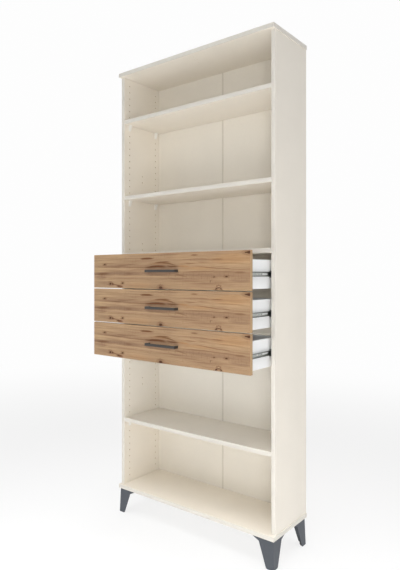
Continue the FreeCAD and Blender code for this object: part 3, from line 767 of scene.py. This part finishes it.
# ---------------------------------------------------------------- case
class BOOKCASE_OT_sides(bpy.types.Operator):
    """The two sides with their line boring, grooves and banded front edges"""

    bl_idname = "bookcase.sides"
    bl_label = "Sides"

    def execute(self, context):
        size = context.scene.bookcase_boards
        for hand, into in (("left", -RIGHT), ("right", RIGHT)):
            node = hand + "_side_panel"
            low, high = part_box(node)
            cutters = self.bores(size, low, high, into)
            cutters += [groove("back_panel_" + hand)] + joints(low, high)
            board("side_" + hand, node, "case", [laminate, edge_band, core], size.arris,
                  [-REAR], cutters)
        return {"FINISHED"}

    @staticmethod
    def bores(size, low, high, into):
        """Cutters of the line boring and of the bores for joining two cases."""
        face = low.x if into.x > 0 else high.x
        rows = round((high.z - low.z - 2 * size.bore_margin) / size.bore_pitch) + 1
        columns = [low.y + size.front_setback, high.y - size.rear_setback]
        places = [(y, row) for y in columns for row in range(rows)]
        places += [(low.y + size.joint_setback, upper + i) for upper in JOINT_ROWS for i in (0, 1)]
        cutters = []
        for y, row in places:
            mouth = Vector((face, y, high.z - size.bore_margin - row * size.bore_pitch))
            cutters.append(blind_bore(mouth, into, size.bore_depth, size.bore / 2))
        return cutters


class BOOKCASE_OT_boards(bpy.types.Operator):
    """Top panel, bottom panel and the four shelves"""

    bl_idname = "bookcase.boards"
    bl_label = "Top, bottom and shelves"

    def execute(self, context):
        size, metal = context.scene.bookcase_boards, context.scene.bookcase_metal
        banded = [-REAR, RIGHT, -RIGHT]
        for node in ("top_panel", "bottom_panel"):
            low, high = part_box(node)
            cutters = joints(low, high) + [groove("back_panel_left"), groove("back_panel_right")]
            if node == "top_panel":
                cutters += self.pilots(size, low)
            else:
                radius = metal.shank / 2 + metal.hole_play
                cutters += [bore(a, b, UP, radius) for a, b in solids("leg_screws")]
            board(node + "_board", node, "case", [laminate, edge_band, core], size.arris,
                  banded, cutters)
        for node in sorted(n for n in frame["nodes"] if n.startswith("shelf_") and n != "shelf_supports"):
            board(node + "_board", node, "case", [laminate, edge_band], size.arris, banded)
        return {"FINISHED"}

    @staticmethod
    def pilots(size, low):
        """Cutters of the pilot holes under the top, for a lamp."""
        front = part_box("left_side_panel")[0].y
        mouths = [Vector((x * MM, front + y * MM, low.z)) for x, y in PILOT_HOLES]
        return [blind_bore(mouth, UP, size.pilot_depth, size.pilot / 2) for mouth in mouths]


class BOOKCASE_OT_back(bpy.types.Operator):
    """The two leaves of the back and the strip that joins them"""

    bl_idname = "bookcase.back"
    bl_label = "Back"

    def execute(self, context):
        arris = context.scene.bookcase_boards.back_arris
        for hand in ("left", "right"):
            board("back_leaf_" + hand, "back_panel_" + hand, "case",
                  [raw_fibre, back_lacquer], arris, [-REAR])
        softened("back_strip", "back_joining_strip", "case", strip_plastic, arris)
        return {"FINISHED"}


class BOOKCASE_OT_supports(bpy.types.Operator):
    """The wedge supports under the shelves"""

    bl_idname = "bookcase.supports"
    bl_label = "Shelf supports"

    def execute(self, context):
        arris = context.scene.bookcase_boards.support_arris
        softened("supports", "shelf_supports", "case", support_plastic, arris, FOLDED)
        return {"FINISHED"}


# ---------------------------------------------------------------- legs
class BOOKCASE_OT_legs(bpy.types.Operator):
    """The four folded legs and their glides"""

    bl_idname = "bookcase.legs"
    bl_label = "Legs"

    def execute(self, context):
        metal = context.scene.bookcase_metal
        for node in sorted(n for n in frame["nodes"] if n.startswith("leg_")):
            if node in ("leg_screws", "leg_glides"):
                continue
            softened(node + "_steel", node, "case", powder_coat, metal.leg_arris,
                     FOLDED)
        softened("glides", "leg_glides", "case", glide_plastic, metal.glide_arris, FOLDED)
        return {"FINISHED"}


# ---------------------------------------------------------------- drawers
class BOOKCASE_OT_fronts(bpy.types.Operator):
    """The oak fronts, all three cut from the same sheet pattern"""

    bl_idname = "bookcase.fronts"
    bl_label = "Oak fronts"

    def execute(self, context):
        for drawer in DRAWERS:
            node = drawer + "_front"
            bm = merged(node)
            rounded(bm, outer_edges(bm), context.scene.bookcase_oak.arris, 3)
            self.lay_veneer(bm)
            piece(drawer + "_oak_front", bm, drawer, [oak], [node])
        return {"FINISHED"}

    @staticmethod
    def lay_veneer(bm):
        """UV in metres: along the front and up it.

        The banded edges and the rear lie aside on the sheet, clear of the marks of the front.
        """
        low = corners(bm.verts)[0]
        layer = bm.loops.layers.uv.new("veneer")
        aside, mostly = 1.5, 0.75
        bm.normal_update()
        for face in bm.faces:
            for loop in face.loops:
                across, deep, up = loop.vert.co - low
                if abs(face.normal.x) > mostly:
                    place = (up + aside, deep)
                elif abs(face.normal.z) > mostly:
                    place = (across + aside, deep + 1)
                elif face.normal.y > 0:
                    place = (across + aside, up + 2)
                else:
                    place = (across, up)
                loop[layer].uv = place


def grain_place(shader):
    """The veneer's place, shifted up and down so that straight lines become the run of the grain."""
    sway = shader.noise(shader.scaled(2.4, 13, 1), 2)
    ripple = shader.noise(shader.scaled(16, 75, 1), 3)
    shift = shader.math("ADD", shader.math("MULTIPLY_ADD", sway, 0.014, -0.007),
                        shader.math("MULTIPLY_ADD", ripple, 0.005, -0.0025))
    cathedral = shader.mark(shader.place, 440, 112, 100, 24, 3)
    shift = shader.math("MULTIPLY_ADD", cathedral, -0.006, shift)
    height = shader.node("SeparateXYZ", (shader.place,)).outputs["Y"]
    for along, up, half_length, half_height, turn, strength in KNOTS:
        swelling = shader.mark(shader.place, along, up, half_length * 4.5, half_height * 2.6, turn)
        pull = shader.math("MULTIPLY", shader.math("SUBTRACT", up * MM, height), 0.75 * strength)
        shift = shader.math("MULTIPLY_ADD", swelling, pull, shift)
    moved = shader.node("CombineXYZ", (0.0, shift, 0.0)).outputs[0]
    return shader.vector("ADD", shader.place, moved)


@cache
def oak():
    """Rustic oak: fibres, pores, late wood, heart bands partly darkened as painted shadow of the handle,
    mineral streaks, rays, knots and cracks.
    """
    tone = bpy.context.scene.bookcase_oak
    dark, heart = tone.dark, tone.heart
    shader = Shader("rustic oak", "UV")
    run = grain_place(shader)
    cloud = shader.noise(shader.scaled(1.1, 20, 1, run), 3)
    growth = shader.noise(shader.scaled(1.6, 95, 1, run), 5, 0.62)
    lick = shader.noise(shader.scaled(9, 120, 1, run), 3, 0.6)
    line = shader.noise(shader.scaled(5, 330, 1, run), 4, 0.6)
    fibre = shader.noise(shader.scaled(30, 1500, 1, run), 3)
    pore = shader.between(shader.noise(shader.scaled(120, 2600, 1, run), 2), 0.58, 0.7)
    ray = shader.between(shader.noise(shader.scaled(170, 26, 1), 3, 0.65), 0.52, 0.7)
    # Heart bands, partly painted shadow of the handle
    heart_and_handle_shadow = shader.marks(run, HEARTWOOD_AND_HANDLE_SHADOW)
    amber = shader.marks(run, AMBER)
    streak = shader.marks(run, STREAKS)
    crack = shader.marks(shader.ragged(0.004, 90), CRACKS)
    knots = shader.marks(shader.ragged(0.007, 110), KNOTS)
    halo = shader.marks(run, [
        (along, up, 2.4 * half_length, 1.9 * half_height, turn, strength)
        for along, up, half_length, half_height, turn, strength in KNOTS])

    face = shader.mix(shader.between(cloud, 0.35, 0.65), tone.middle, tone.light)
    face = shader.mix(amber, face, tone.amber)
    face = shader.mix(shader.between(growth, 0.5, 0.7, 0, 0.55), face, heart)
    # The heart bands darken the face; near the handle this darkening is painted shadow
    grown = shader.between(growth, 0.3, 0.6, 0.55, 1)
    face = shader.mix(shader.math("MULTIPLY", heart_and_handle_shadow, grown), face, heart)
    face = shader.mix(shader.between(lick, 0.55, 0.75, 0, 0.24), face, dark)
    face = shader.mix(shader.between(line, 0.48, 0.68, 0, 0.36), face, dark)
    broken = shader.between(line, 0.3, 0.6, 0.62, 0.95)
    face = shader.mix(shader.math("MULTIPLY", streak, broken), face, dark)
    face = shader.mix(shader.math("MULTIPLY", halo, 0.4), face, dark)
    face = shader.mix(shader.math("MULTIPLY", shader.math("MULTIPLY", ray, heart_and_handle_shadow), 0.4), face, dark)
    face = shader.mix(shader.between(fibre, 0.35, 0.7, 0, 0.14), face, dark)
    face = shader.mix(shader.math("MULTIPLY", pore, 0.32), face, dark)
    hollow = shader.math("MAXIMUM", shader.between(knots, 0.2, 0.5), shader.math("MULTIPLY", crack, 0.8))
    face = shader.mix(hollow, face, tone.knot)
    low = shader.math("ADD", shader.math("MULTIPLY", pore, 0.6), hollow)
    shader.relief(shader.math("SUBTRACT", shader.math("MULTIPLY", fibre, 0.5), low), 0.00015)
    return shader.finish(face, shader.between(fibre, 0.3, 0.7, 0.52, 0.64), Specular_IOR_Level=0.32)


class BOOKCASE_OT_handles(bpy.types.Operator):
    """The square bow handles"""

    bl_idname = "bookcase.handles"
    bl_label = "Handles"

    def execute(self, context):
        for drawer in DRAWERS:
            softened(drawer + "_bow_handle", drawer + "_handle", drawer, handle_coat,
                     context.scene.bookcase_metal.handle_arris, FOLDED)
        return {"FINISHED"}


class BOOKCASE_OT_boxes(bpy.types.Operator):
    """The white drawer boxes"""

    bl_idname = "bookcase.boxes"
    bl_label = "Drawer boxes"

    def execute(self, context):
        size, metal = context.scene.bookcase_boards, context.scene.bookcase_metal
        looks = [white_laminate, white_band, core]
        for drawer in DRAWERS:
            holes = [(a, b, min((b - a).y, (b - a).z)) for a, b in solids(drawer + "_cams")]
            holes += [(a, b, metal.shank) for a, b in solids(drawer + "_runner_screws")]
            for hand in ("left", "right"):
                node = drawer + "_side_" + hand
                low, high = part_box(node)
                cutters = [groove(drawer + "_bottom")]
                for a, b, across in holes:
                    if low.x < (a.x + b.x) / 2 < high.x:
                        cutters.append(bore(a, b, RIGHT, across / 2 + metal.hole_play))
                board(node + "_board", node, drawer, looks, size.side_arris, [UP], cutters)
            for part in ("back", "bottom"):
                node = drawer + "_" + part
                board(node + "_board", node, drawer, looks, size.panel_arris, [UP])
        return {"FINISHED"}


# ---------------------------------------------------------------- runners
def bent_sheet(section, start, end, thickness, radius, lip_radius=None):
    """Sheet bent to a section of (x, z) points and drawn along Y; it is thick to its left side.

    Its first and last strips are lips, which take the second material and their own bend radius; on the
    runners that material is zinc darkened as painted shade.
    """
    bm = bmesh.new()
    verts = [bm.verts.new((x, start, z)) for x, z in section]
    edges = [bm.edges.new(pair) for pair in zip(verts, verts[1:])]
    drawn = bmesh.ops.extrude_edge_only(bm, edges=edges)["geom"]
    moved = [part for part in drawn if isinstance(part, bmesh.types.BMVert)]
    bmesh.ops.translate(bm, verts=moved, vec=(0, end - start, 0))
    bends = [edge for edge in bm.edges if len(edge.link_faces) == 2]
    # The lip faces take the second material, which on the runners is painted shade
    for face in bm.faces:
        borders = [edge for edge in face.edges if len(edge.link_faces) == 1 and run_of(edge).y > MM]
        face.material_index = 1 if borders else 0
    at_lips = [edge for edge in bends if any(face.material_index for face in edge.link_faces)]
    rounded(bm, at_lips, lip_radius or radius, 4)
    rounded(bm, [edge for edge in bends if edge.is_valid and edge not in at_lips], radius, 4)
    bmesh.ops.solidify(bm, geom=bm.faces, thickness=thickness)
    bmesh.ops.recalc_face_normals(bm, faces=bm.faces)
    return bm


def run_of(edge):
    """How far an edge runs along each axis."""
    return Vector([abs(step) for step in edge.verts[0].co - edge.verts[1].co])


def with_twin(bm):
    """A right-hand shape and its left-hand twin."""
    twin = bm.copy()
    bmesh.ops.scale(twin, vec=(-1, 1, 1), verts=twin.verts)
    bmesh.ops.reverse_faces(twin, faces=twin.faces)
    return joined([bm, twin])


class BOOKCASE_OT_runners(bpy.types.Operator):
    """The ball runners: case members, drawer members, cages and balls"""

    bl_idname = "bookcase.runners"
    bl_label = "Ball runners"

    def execute(self, context):
        size = context.scene.bookcase_metal
        for drawer in DRAWERS:
            cage = drawer.replace("drawer", "cage")
            node = drawer + "_outer_runners"
            piece(drawer + "_case_members", self.case_member(size, *solids(node)[-1]), "case",
                  [zinc, lip_shade_zinc], [node], FOLDED)
            node = drawer + "_inner_runners"
            piece(drawer + "_drawer_members", self.drawer_member(size, drawer, *solids(node)[-1]), drawer,
                  [zinc, lip_shade_zinc], [node], FOLDED)
            node = drawer + "_ball_cages"
            channel, rows = self.cage_parts(node)
            balls = self.ball_places(size, channel, rows)
            piece(drawer + "_cages", self.cage(size, channel, balls), cage,
                  [cage_plastic], [node], FOLDED)
            piece(drawer + "_balls", self.balls(balls), cage, [ball_steel], [], BALL)
        return {"FINISHED"}

    @staticmethod
    def case_member(size, low, high):
        """The C-section on the case, its lips turned in over the ball tracks."""
        lip = size.sheet + size.lip
        section = [
            (low.x, high.z - lip), (low.x, high.z), (high.x, high.z),
            (high.x, low.z), (low.x, low.z), (low.x, low.z + lip),
        ]
        return with_twin(bent_sheet(section, low.y, high.y, size.sheet, size.bend))

    @staticmethod
    def drawer_member(size, drawer, low, high):
        """The C-section on the drawer, with a spare hole and a slot for adjusting the drawer."""
        flange = size.lip + size.sheet
        web = low.x + size.sheet
        section = [
            (high.x, low.z), (high.x, low.z + flange), (web, low.z + flange),
            (web, high.z - flange), (high.x, high.z - flange), (high.x, high.z),
        ]
        bm = bent_sheet(section, low.y, high.y, size.sheet, size.track, size.lip_bend)
        outside, middle = low.x - size.sheet, (low.z + high.z) / 2
        through = Vector((3 * size.sheet, 0, 0))
        spare = Vector((outside, low.y + size.spare_hole, middle))
        holes = [rod_mesh(spare, through, size.spare_hole_across / 2)]
        half = size.slot_height / 2
        slot = box_mesh((outside, low.y + size.slot_start, middle - half),
                        (outside + through.x, low.y + size.slot_end, middle + half))
        nearly_round = 0.98 * half
        rounded(slot, [edge for edge in slot.edges if run_of(edge).x > MM], nearly_round, 8)
        holes.append(slot)
        for a, b in solids(drawer + "_runner_screws"):
            if a.x > 0:
                start = Vector((outside, (a.y + b.y) / 2, middle))
                holes.append(rod_mesh(start, through, size.shank / 2 + size.hole_play))
        return with_twin(less(bm, holes))

    @staticmethod
    def cage_parts(node):
        """The corners of the right-hand cage's channel, and the balls beside it."""
        right = [box for box in solids(node) if box[0].x > 0]
        channel = max(right, key=lambda box: box[1].y - box[0].y)
        return channel, [box for box in right if box is not channel]

    @staticmethod
    def ball_places(size, channel, rows):
        """(centre, radius) of every ball of the right-hand cage."""
        low, high = channel
        step = (high.y - low.y) / size.balls
        places = []
        for height in sorted({round((a.z + b.z) / 2, 5) for a, b in rows}):
            a, b = rows[0]
            for i in range(size.balls):
                centre = Vector(((a.x + b.x) / 2, low.y + step * (i + 0.5), height))
                places.append((centre, (b.y - a.y) / 2))
        return places

    @staticmethod
    def cage(size, channel, balls):
        """The plastic channel with a round window at each ball."""
        low, high = channel
        section = [(low.x, high.z), (high.x, high.z), (high.x, low.z), (low.x, low.z)]
        bm = bent_sheet(section, low.y, high.y, size.cage_sheet, size.cage_sheet)
        past = UP * (2 * MM)
        windows = [rod_mesh(centre - past, past * 2, radius * size.window, 12) for centre, radius in balls]
        return with_twin(less(bm, windows))

    @staticmethod
    def balls(places):
        """The steel balls."""
        bm = bmesh.new()
        for centre, radius in places:
            bmesh.ops.create_icosphere(bm, subdivisions=2, radius=radius, matrix=Matrix.Translation(centre))
        return with_twin(bm)


# ---------------------------------------------------------------- fastenings
def turned(profile, segments=20):
    """A solid of revolution about Z from (radius, height) points that begin and end on the axis."""
    bm = bmesh.new()
    verts = [bm.verts.new((radius, 0, height)) for radius, height in profile]
    edges = [bm.edges.new(pair) for pair in zip(verts, verts[1:])]
    bmesh.ops.spin(bm, geom=verts + edges, axis=(0, 0, 1), cent=(0, 0, 0), angle=2 * math.pi,
                   steps=segments, use_merge=True)
    bmesh.ops.remove_doubles(bm, verts=bm.verts, dist=0.001 * MM)
    bmesh.ops.recalc_face_normals(bm, faces=bm.faces)
    return bm


def crossed(bm, arm, slim, depth):
    """A solid with a cross for the screwdriver, cut down from the origin."""
    for wide, tall in ((arm, slim), (slim, arm)):
        bm = less(bm, [box_mesh((-wide, -tall, -depth), (wide, tall, MM))])
    return bm


def screw_shape(radius, length):
    """A small screw with a low rounded head and a cross; its head ends at the origin, point down."""
    height = bpy.context.scene.bookcase_metal.head
    shank = bpy.context.scene.bookcase_metal.shank / 2
    bm = turned([
        (0, 0), (radius * 0.62, 0), (radius * 0.9, -height * 0.22), (radius, -height * 0.6),
        (radius * 0.98, -height), (shank, -height), (shank, 2 * shank - length), (0, -length),
    ])
    return crossed(bm, radius * 0.56, radius * 0.11, height * 0.75)


def socket_screw_shape(radius, length):
    """A long case screw with a flat head and a hexagon socket; its head ends at the origin."""
    height = bpy.context.scene.bookcase_metal.case_head
    shank = bpy.context.scene.bookcase_metal.case_shank / 2
    chamfer = 0.3 * MM
    bm = turned([
        (0, 0), (radius - chamfer, 0), (radius, -chamfer), (radius, -height * 0.6), (shank, -height),
        (shank, 2 * shank - length), (shank * 0.3, -length), (0, -length),
    ])
    return less(bm, [rod_mesh(UP * (-0.75 * height), UP * height, radius * 0.45, 6)])


def cam_shape(radius, length):
    """A cam: a disc with a rounded rim and a cross; it ends at the origin."""
    rim = 0.4 * MM
    bm = turned([(0, 0), (radius - rim, 0), (radius, -rim), (radius, -length), (0, -length)], 32)
    return crossed(bm, radius * 0.5, radius * 0.09, 2 * MM)


def dowel_shape(radius, length):
    """A fluted dowel with tapered ends; it ends at the origin."""
    taper, tip, flute, steps = 1.2 * MM, 0.75 * radius, 0.92, 24
    bm = turned([(0, 0), (tip, 0), (radius, -taper), (radius, taper - length), (tip, -length),
                 (0, -length)], steps)
    for vert in bm.verts:
        step = round(math.atan2(vert.co.y, vert.co.x) / (2 * math.pi) * steps)
        if step % 2 and -length + taper / 2 < vert.co.z < -taper / 2:
            vert.co.x *= flute
            vert.co.y *= flute
    return bm


def outward(middle):
    """The direction along X that leads away from the middle of the case."""
    return RIGHT * math.copysign(1, middle.x)


def inward(middle):
    """The direction along X that leads to the middle of the case."""
    return -outward(middle)


def to_half_height(middle):
    """Down from the upper half of the case, and up from its lower half."""
    half_height = (CAD_BOX[0][2] + CAD_BOX[1][2]) / 2
    return -UP if middle.z > half_height else UP


def fastening(name, make, node, body, material, point):
    """A piece with a turned shape in place of each solid of a node.

    make gives the shape for a radius and a length. point is the direction in which the shape's
    point looks, or a function that gives it for the middle of a solid.
    """
    copies, shape = [], None
    for low, high in solids(node):
        size, middle = high - low, (low + high) / 2
        way = point(middle) if callable(point) else point
        length = abs(size.dot(way))
        if shape is None:
            shape = make(min(size[i] for i in range(3) if not way[i]) / 2, length)
        turn = (-UP).rotation_difference(way).to_matrix().to_4x4()
        copies.append(shape.copy())
        copies[-1].transform(Matrix.Translation(middle - way * (length / 2)) @ turn)
    shape.free()
    piece(name, joined(copies), body, [material], [node], TURNED)


class BOOKCASE_OT_fastenings(bpy.types.Operator):
    """Screws, cams and dowels"""

    bl_idname = "bookcase.fastenings"
    bl_label = "Screws, cams and dowels"

    def execute(self, context):
        self.screws("leg_screw_set", "leg_screws", "case", UP)
        self.screws("runner_screw_set", "runner_case_screws", "case", outward)
        for drawer in DRAWERS:
            self.screws(drawer + "_runner_screw_set", drawer + "_runner_screws", drawer, inward)
            self.screws(drawer + "_handle_screw_set", drawer + "_handle_screws", drawer, -REAR)
            fastening(drawer + "_cam_set", cam_shape, drawer + "_cams", drawer, cast_zinc,
                      outward)
        self.screws("case_screw_set", "case_screws", "case", to_half_height, socket_screw_shape)
        fastening("dowel_set", dowel_shape, "case_dowels", "case", beech, to_half_height)
        return {"FINISHED"}

    @staticmethod
    def screws(name, node, body, point, make=screw_shape):
        """Screws, small ones unless told otherwise."""
        fastening(name, make, node, body, nickel, point)


# ---------------------------------------------------------------- studio
# Broad lamps: name, setting of the power, place, size and spread in degrees; those with a narrow
# spread point straight down, the others at the bookcase
LAMPS = (
    ("front lamp", "front", (2.6, -3.2, 1.2), (1.2, 1.2), 180),
    ("high lamp", "high", (2.2, -2.9, 2.6), (1.4, 1.0), 180),
    ("side lamp", "side", (-4.2, -1.6, 1.3), (2.5, 2.5), 180),
    ("back lamp", "behind", (-1.2, 4.8, 1.4), (4.0, 2.5), 180),
    ("front floor lamp", "over_front", (0.3, -2.0, 3.8), (2.5, 2.0), 70),
    ("side floor lamp", "over_side", (2.2, -0.5, 3.8), (2.0, 2.5), 70),
    ("top lamp", "over_top", (0, 0.1, 4.4), (1.6, 0.8), 40),
)


class BOOKCASE_OT_studio(bpy.types.Operator):
    """Floor, even light, broad lamps all round and the camera"""

    bl_idname = "bookcase.studio"
    bl_label = "Studio"

    def execute(self, context):
        studio = context.scene.bookcase_studio
        self.floor(studio)
        self.sky(context.scene, studio)
        middle = Vector((0, 0, 1))
        for name, setting, place, size, spread in LAMPS:
            aim = middle if spread == 180 else Vector(place) - UP
            self.lamp(name, Vector(place), aim, size, getattr(studio, setting), math.radians(spread))
        self.camera(context.scene, studio)
        context.scene.view_settings.view_transform = "Standard"
        return {"FINISHED"}

    @staticmethod
    def seen(nodes):
        """1 for rays that the camera, a gloss or a glass sends, and 0 for the light itself."""
        rays = nodes.node("LightPath").outputs
        outright = nodes.math("MAXIMUM", rays["Is Camera Ray"], rays["Is Glossy Ray"])
        return nodes.math("MAXIMUM", outright, rays["Is Transmission Ray"])

    def floor(self, studio):
        """A wide floor that keeps soft shadows and melts into the background."""
        bm = bmesh.new()
        bmesh.ops.create_grid(bm, x_segments=1, y_segments=1, size=30)
        mesh = bpy.data.meshes.new("floor")
        bm.to_mesh(mesh)
        bm.free()
        floor = bpy.data.objects.new("floor", mesh)
        bpy.context.scene.collection.objects.link(floor)
        mesh.materials.append(self.floor_paint(studio))

    def floor_paint(self, studio):
        """Matt paint that glows more and more with the distance, for the eye alone."""
        material = bpy.data.materials.new("pale floor")
        material.use_nodes = True
        material.node_tree.nodes.clear()
        nodes = Nodes(material.node_tree)
        matt = nodes.node("BsdfDiffuse", {"Color": studio.floor})
        glow = nodes.node("Emission", {"Strength": studio.seen})
        place = nodes.node("TexCoord").outputs["Object"]
        near, far, kept, full = 1.5, 5.0, 0.8, 1.0
        fade = nodes.between(nodes.distance(place), near, far, kept, full)
        share = nodes.math("MULTIPLY", self.seen(nodes), fade)
        both = nodes.node("MixShader", (share, matt.outputs[0], glow.outputs[0]))
        nodes.node("OutputMaterial", {"Surface": both.outputs[0]})
        return material

    def sky(self, scene, studio):
        """Even light from all round, white where it is seen."""
        world = bpy.data.worlds.new("studio")
        world.use_nodes = True
        nodes = Nodes(world.node_tree)
        light = world.node_tree.nodes["Background"].inputs
        levels = {"Value": self.seen(nodes), "To Min": studio.sky, "To Max": studio.seen}
        nodes.feed(light["Color"], (1, 1, 1))
        nodes.feed(light["Strength"], nodes.node("MapRange", levels).outputs[0])
        scene.world = world

    @staticmethod
    def lamp(name, place, aim, size, power, spread):
        """A broad area lamp."""
        data = bpy.data.lights.new(name, "AREA")
        data.shape = "RECTANGLE"
        data.size, data.size_y = size
        data.energy = power
        data.spread = spread
        made = bpy.data.objects.new(name, data)
        made.location = place
        made.rotation_euler = (aim - place).to_track_quat("-Z", "Y").to_euler()
        bpy.context.scene.collection.objects.link(made)

    @staticmethod
    def camera(scene, studio):
        """A level camera with two vanishing points."""
        data = bpy.data.cameras.new("camera")
        data.lens = studio.lens
        data.shift_y = studio.rise
        made = bpy.data.objects.new("camera", data)
        made.location = studio.eye
        made.rotation_euler = (math.pi / 2, 0, studio.heading)
        scene.collection.objects.link(made)
        scene.camera = made


class BOOKCASE_PT_panel(bpy.types.Panel):
    """Sidebar list of the pieces"""

    bl_idname = "BOOKCASE_PT_panel"
    bl_label = "Bookcase"
    bl_space_type = "VIEW_3D"
    bl_region_type = "UI"
    bl_category = "Bookcase"

    def draw(self, context):
        for operator in OPERATORS:
            self.layout.operator(operator.bl_idname)
        for name in SETTINGS:
            group = getattr(context.scene, name)
            for prop in group.__annotations__:
                self.layout.prop(group, prop)


SETTINGS = {
    "bookcase_boards": BookcaseBoards,
    "bookcase_oak": BookcaseOak,
    "bookcase_metal": BookcaseMetal,
    "bookcase_studio": BookcaseStudio,
}
OPERATORS = [
    BOOKCASE_OT_sides, BOOKCASE_OT_boards, BOOKCASE_OT_back, BOOKCASE_OT_supports, BOOKCASE_OT_legs,
    BOOKCASE_OT_fronts, BOOKCASE_OT_handles, BOOKCASE_OT_boxes, BOOKCASE_OT_runners,
    BOOKCASE_OT_fastenings, BOOKCASE_OT_studio,
]


def register():
    """Adds the settings, the operators and the panel."""
    for name, group in SETTINGS.items():
        bpy.utils.register_class(group)
        setattr(bpy.types.Scene, name, PointerProperty(type=group))
    for cls in [*OPERATORS, BOOKCASE_PT_panel]:
        bpy.utils.register_class(cls)


def unregister():
    """Takes them out again."""
    for cls in [BOOKCASE_PT_panel, *reversed(OPERATORS)]:
        bpy.utils.unregister_class(cls)
    for name, group in SETTINGS.items():
        delattr(bpy.types.Scene, name)
        bpy.utils.unregister_class(group)


def main():
    """Makes every piece and the studio."""
    register()
    for operator in OPERATORS:
        module, name = operator.bl_idname.split(".")
        getattr(getattr(bpy.ops, module), name)()


if __name__ == "__main__":
    main()
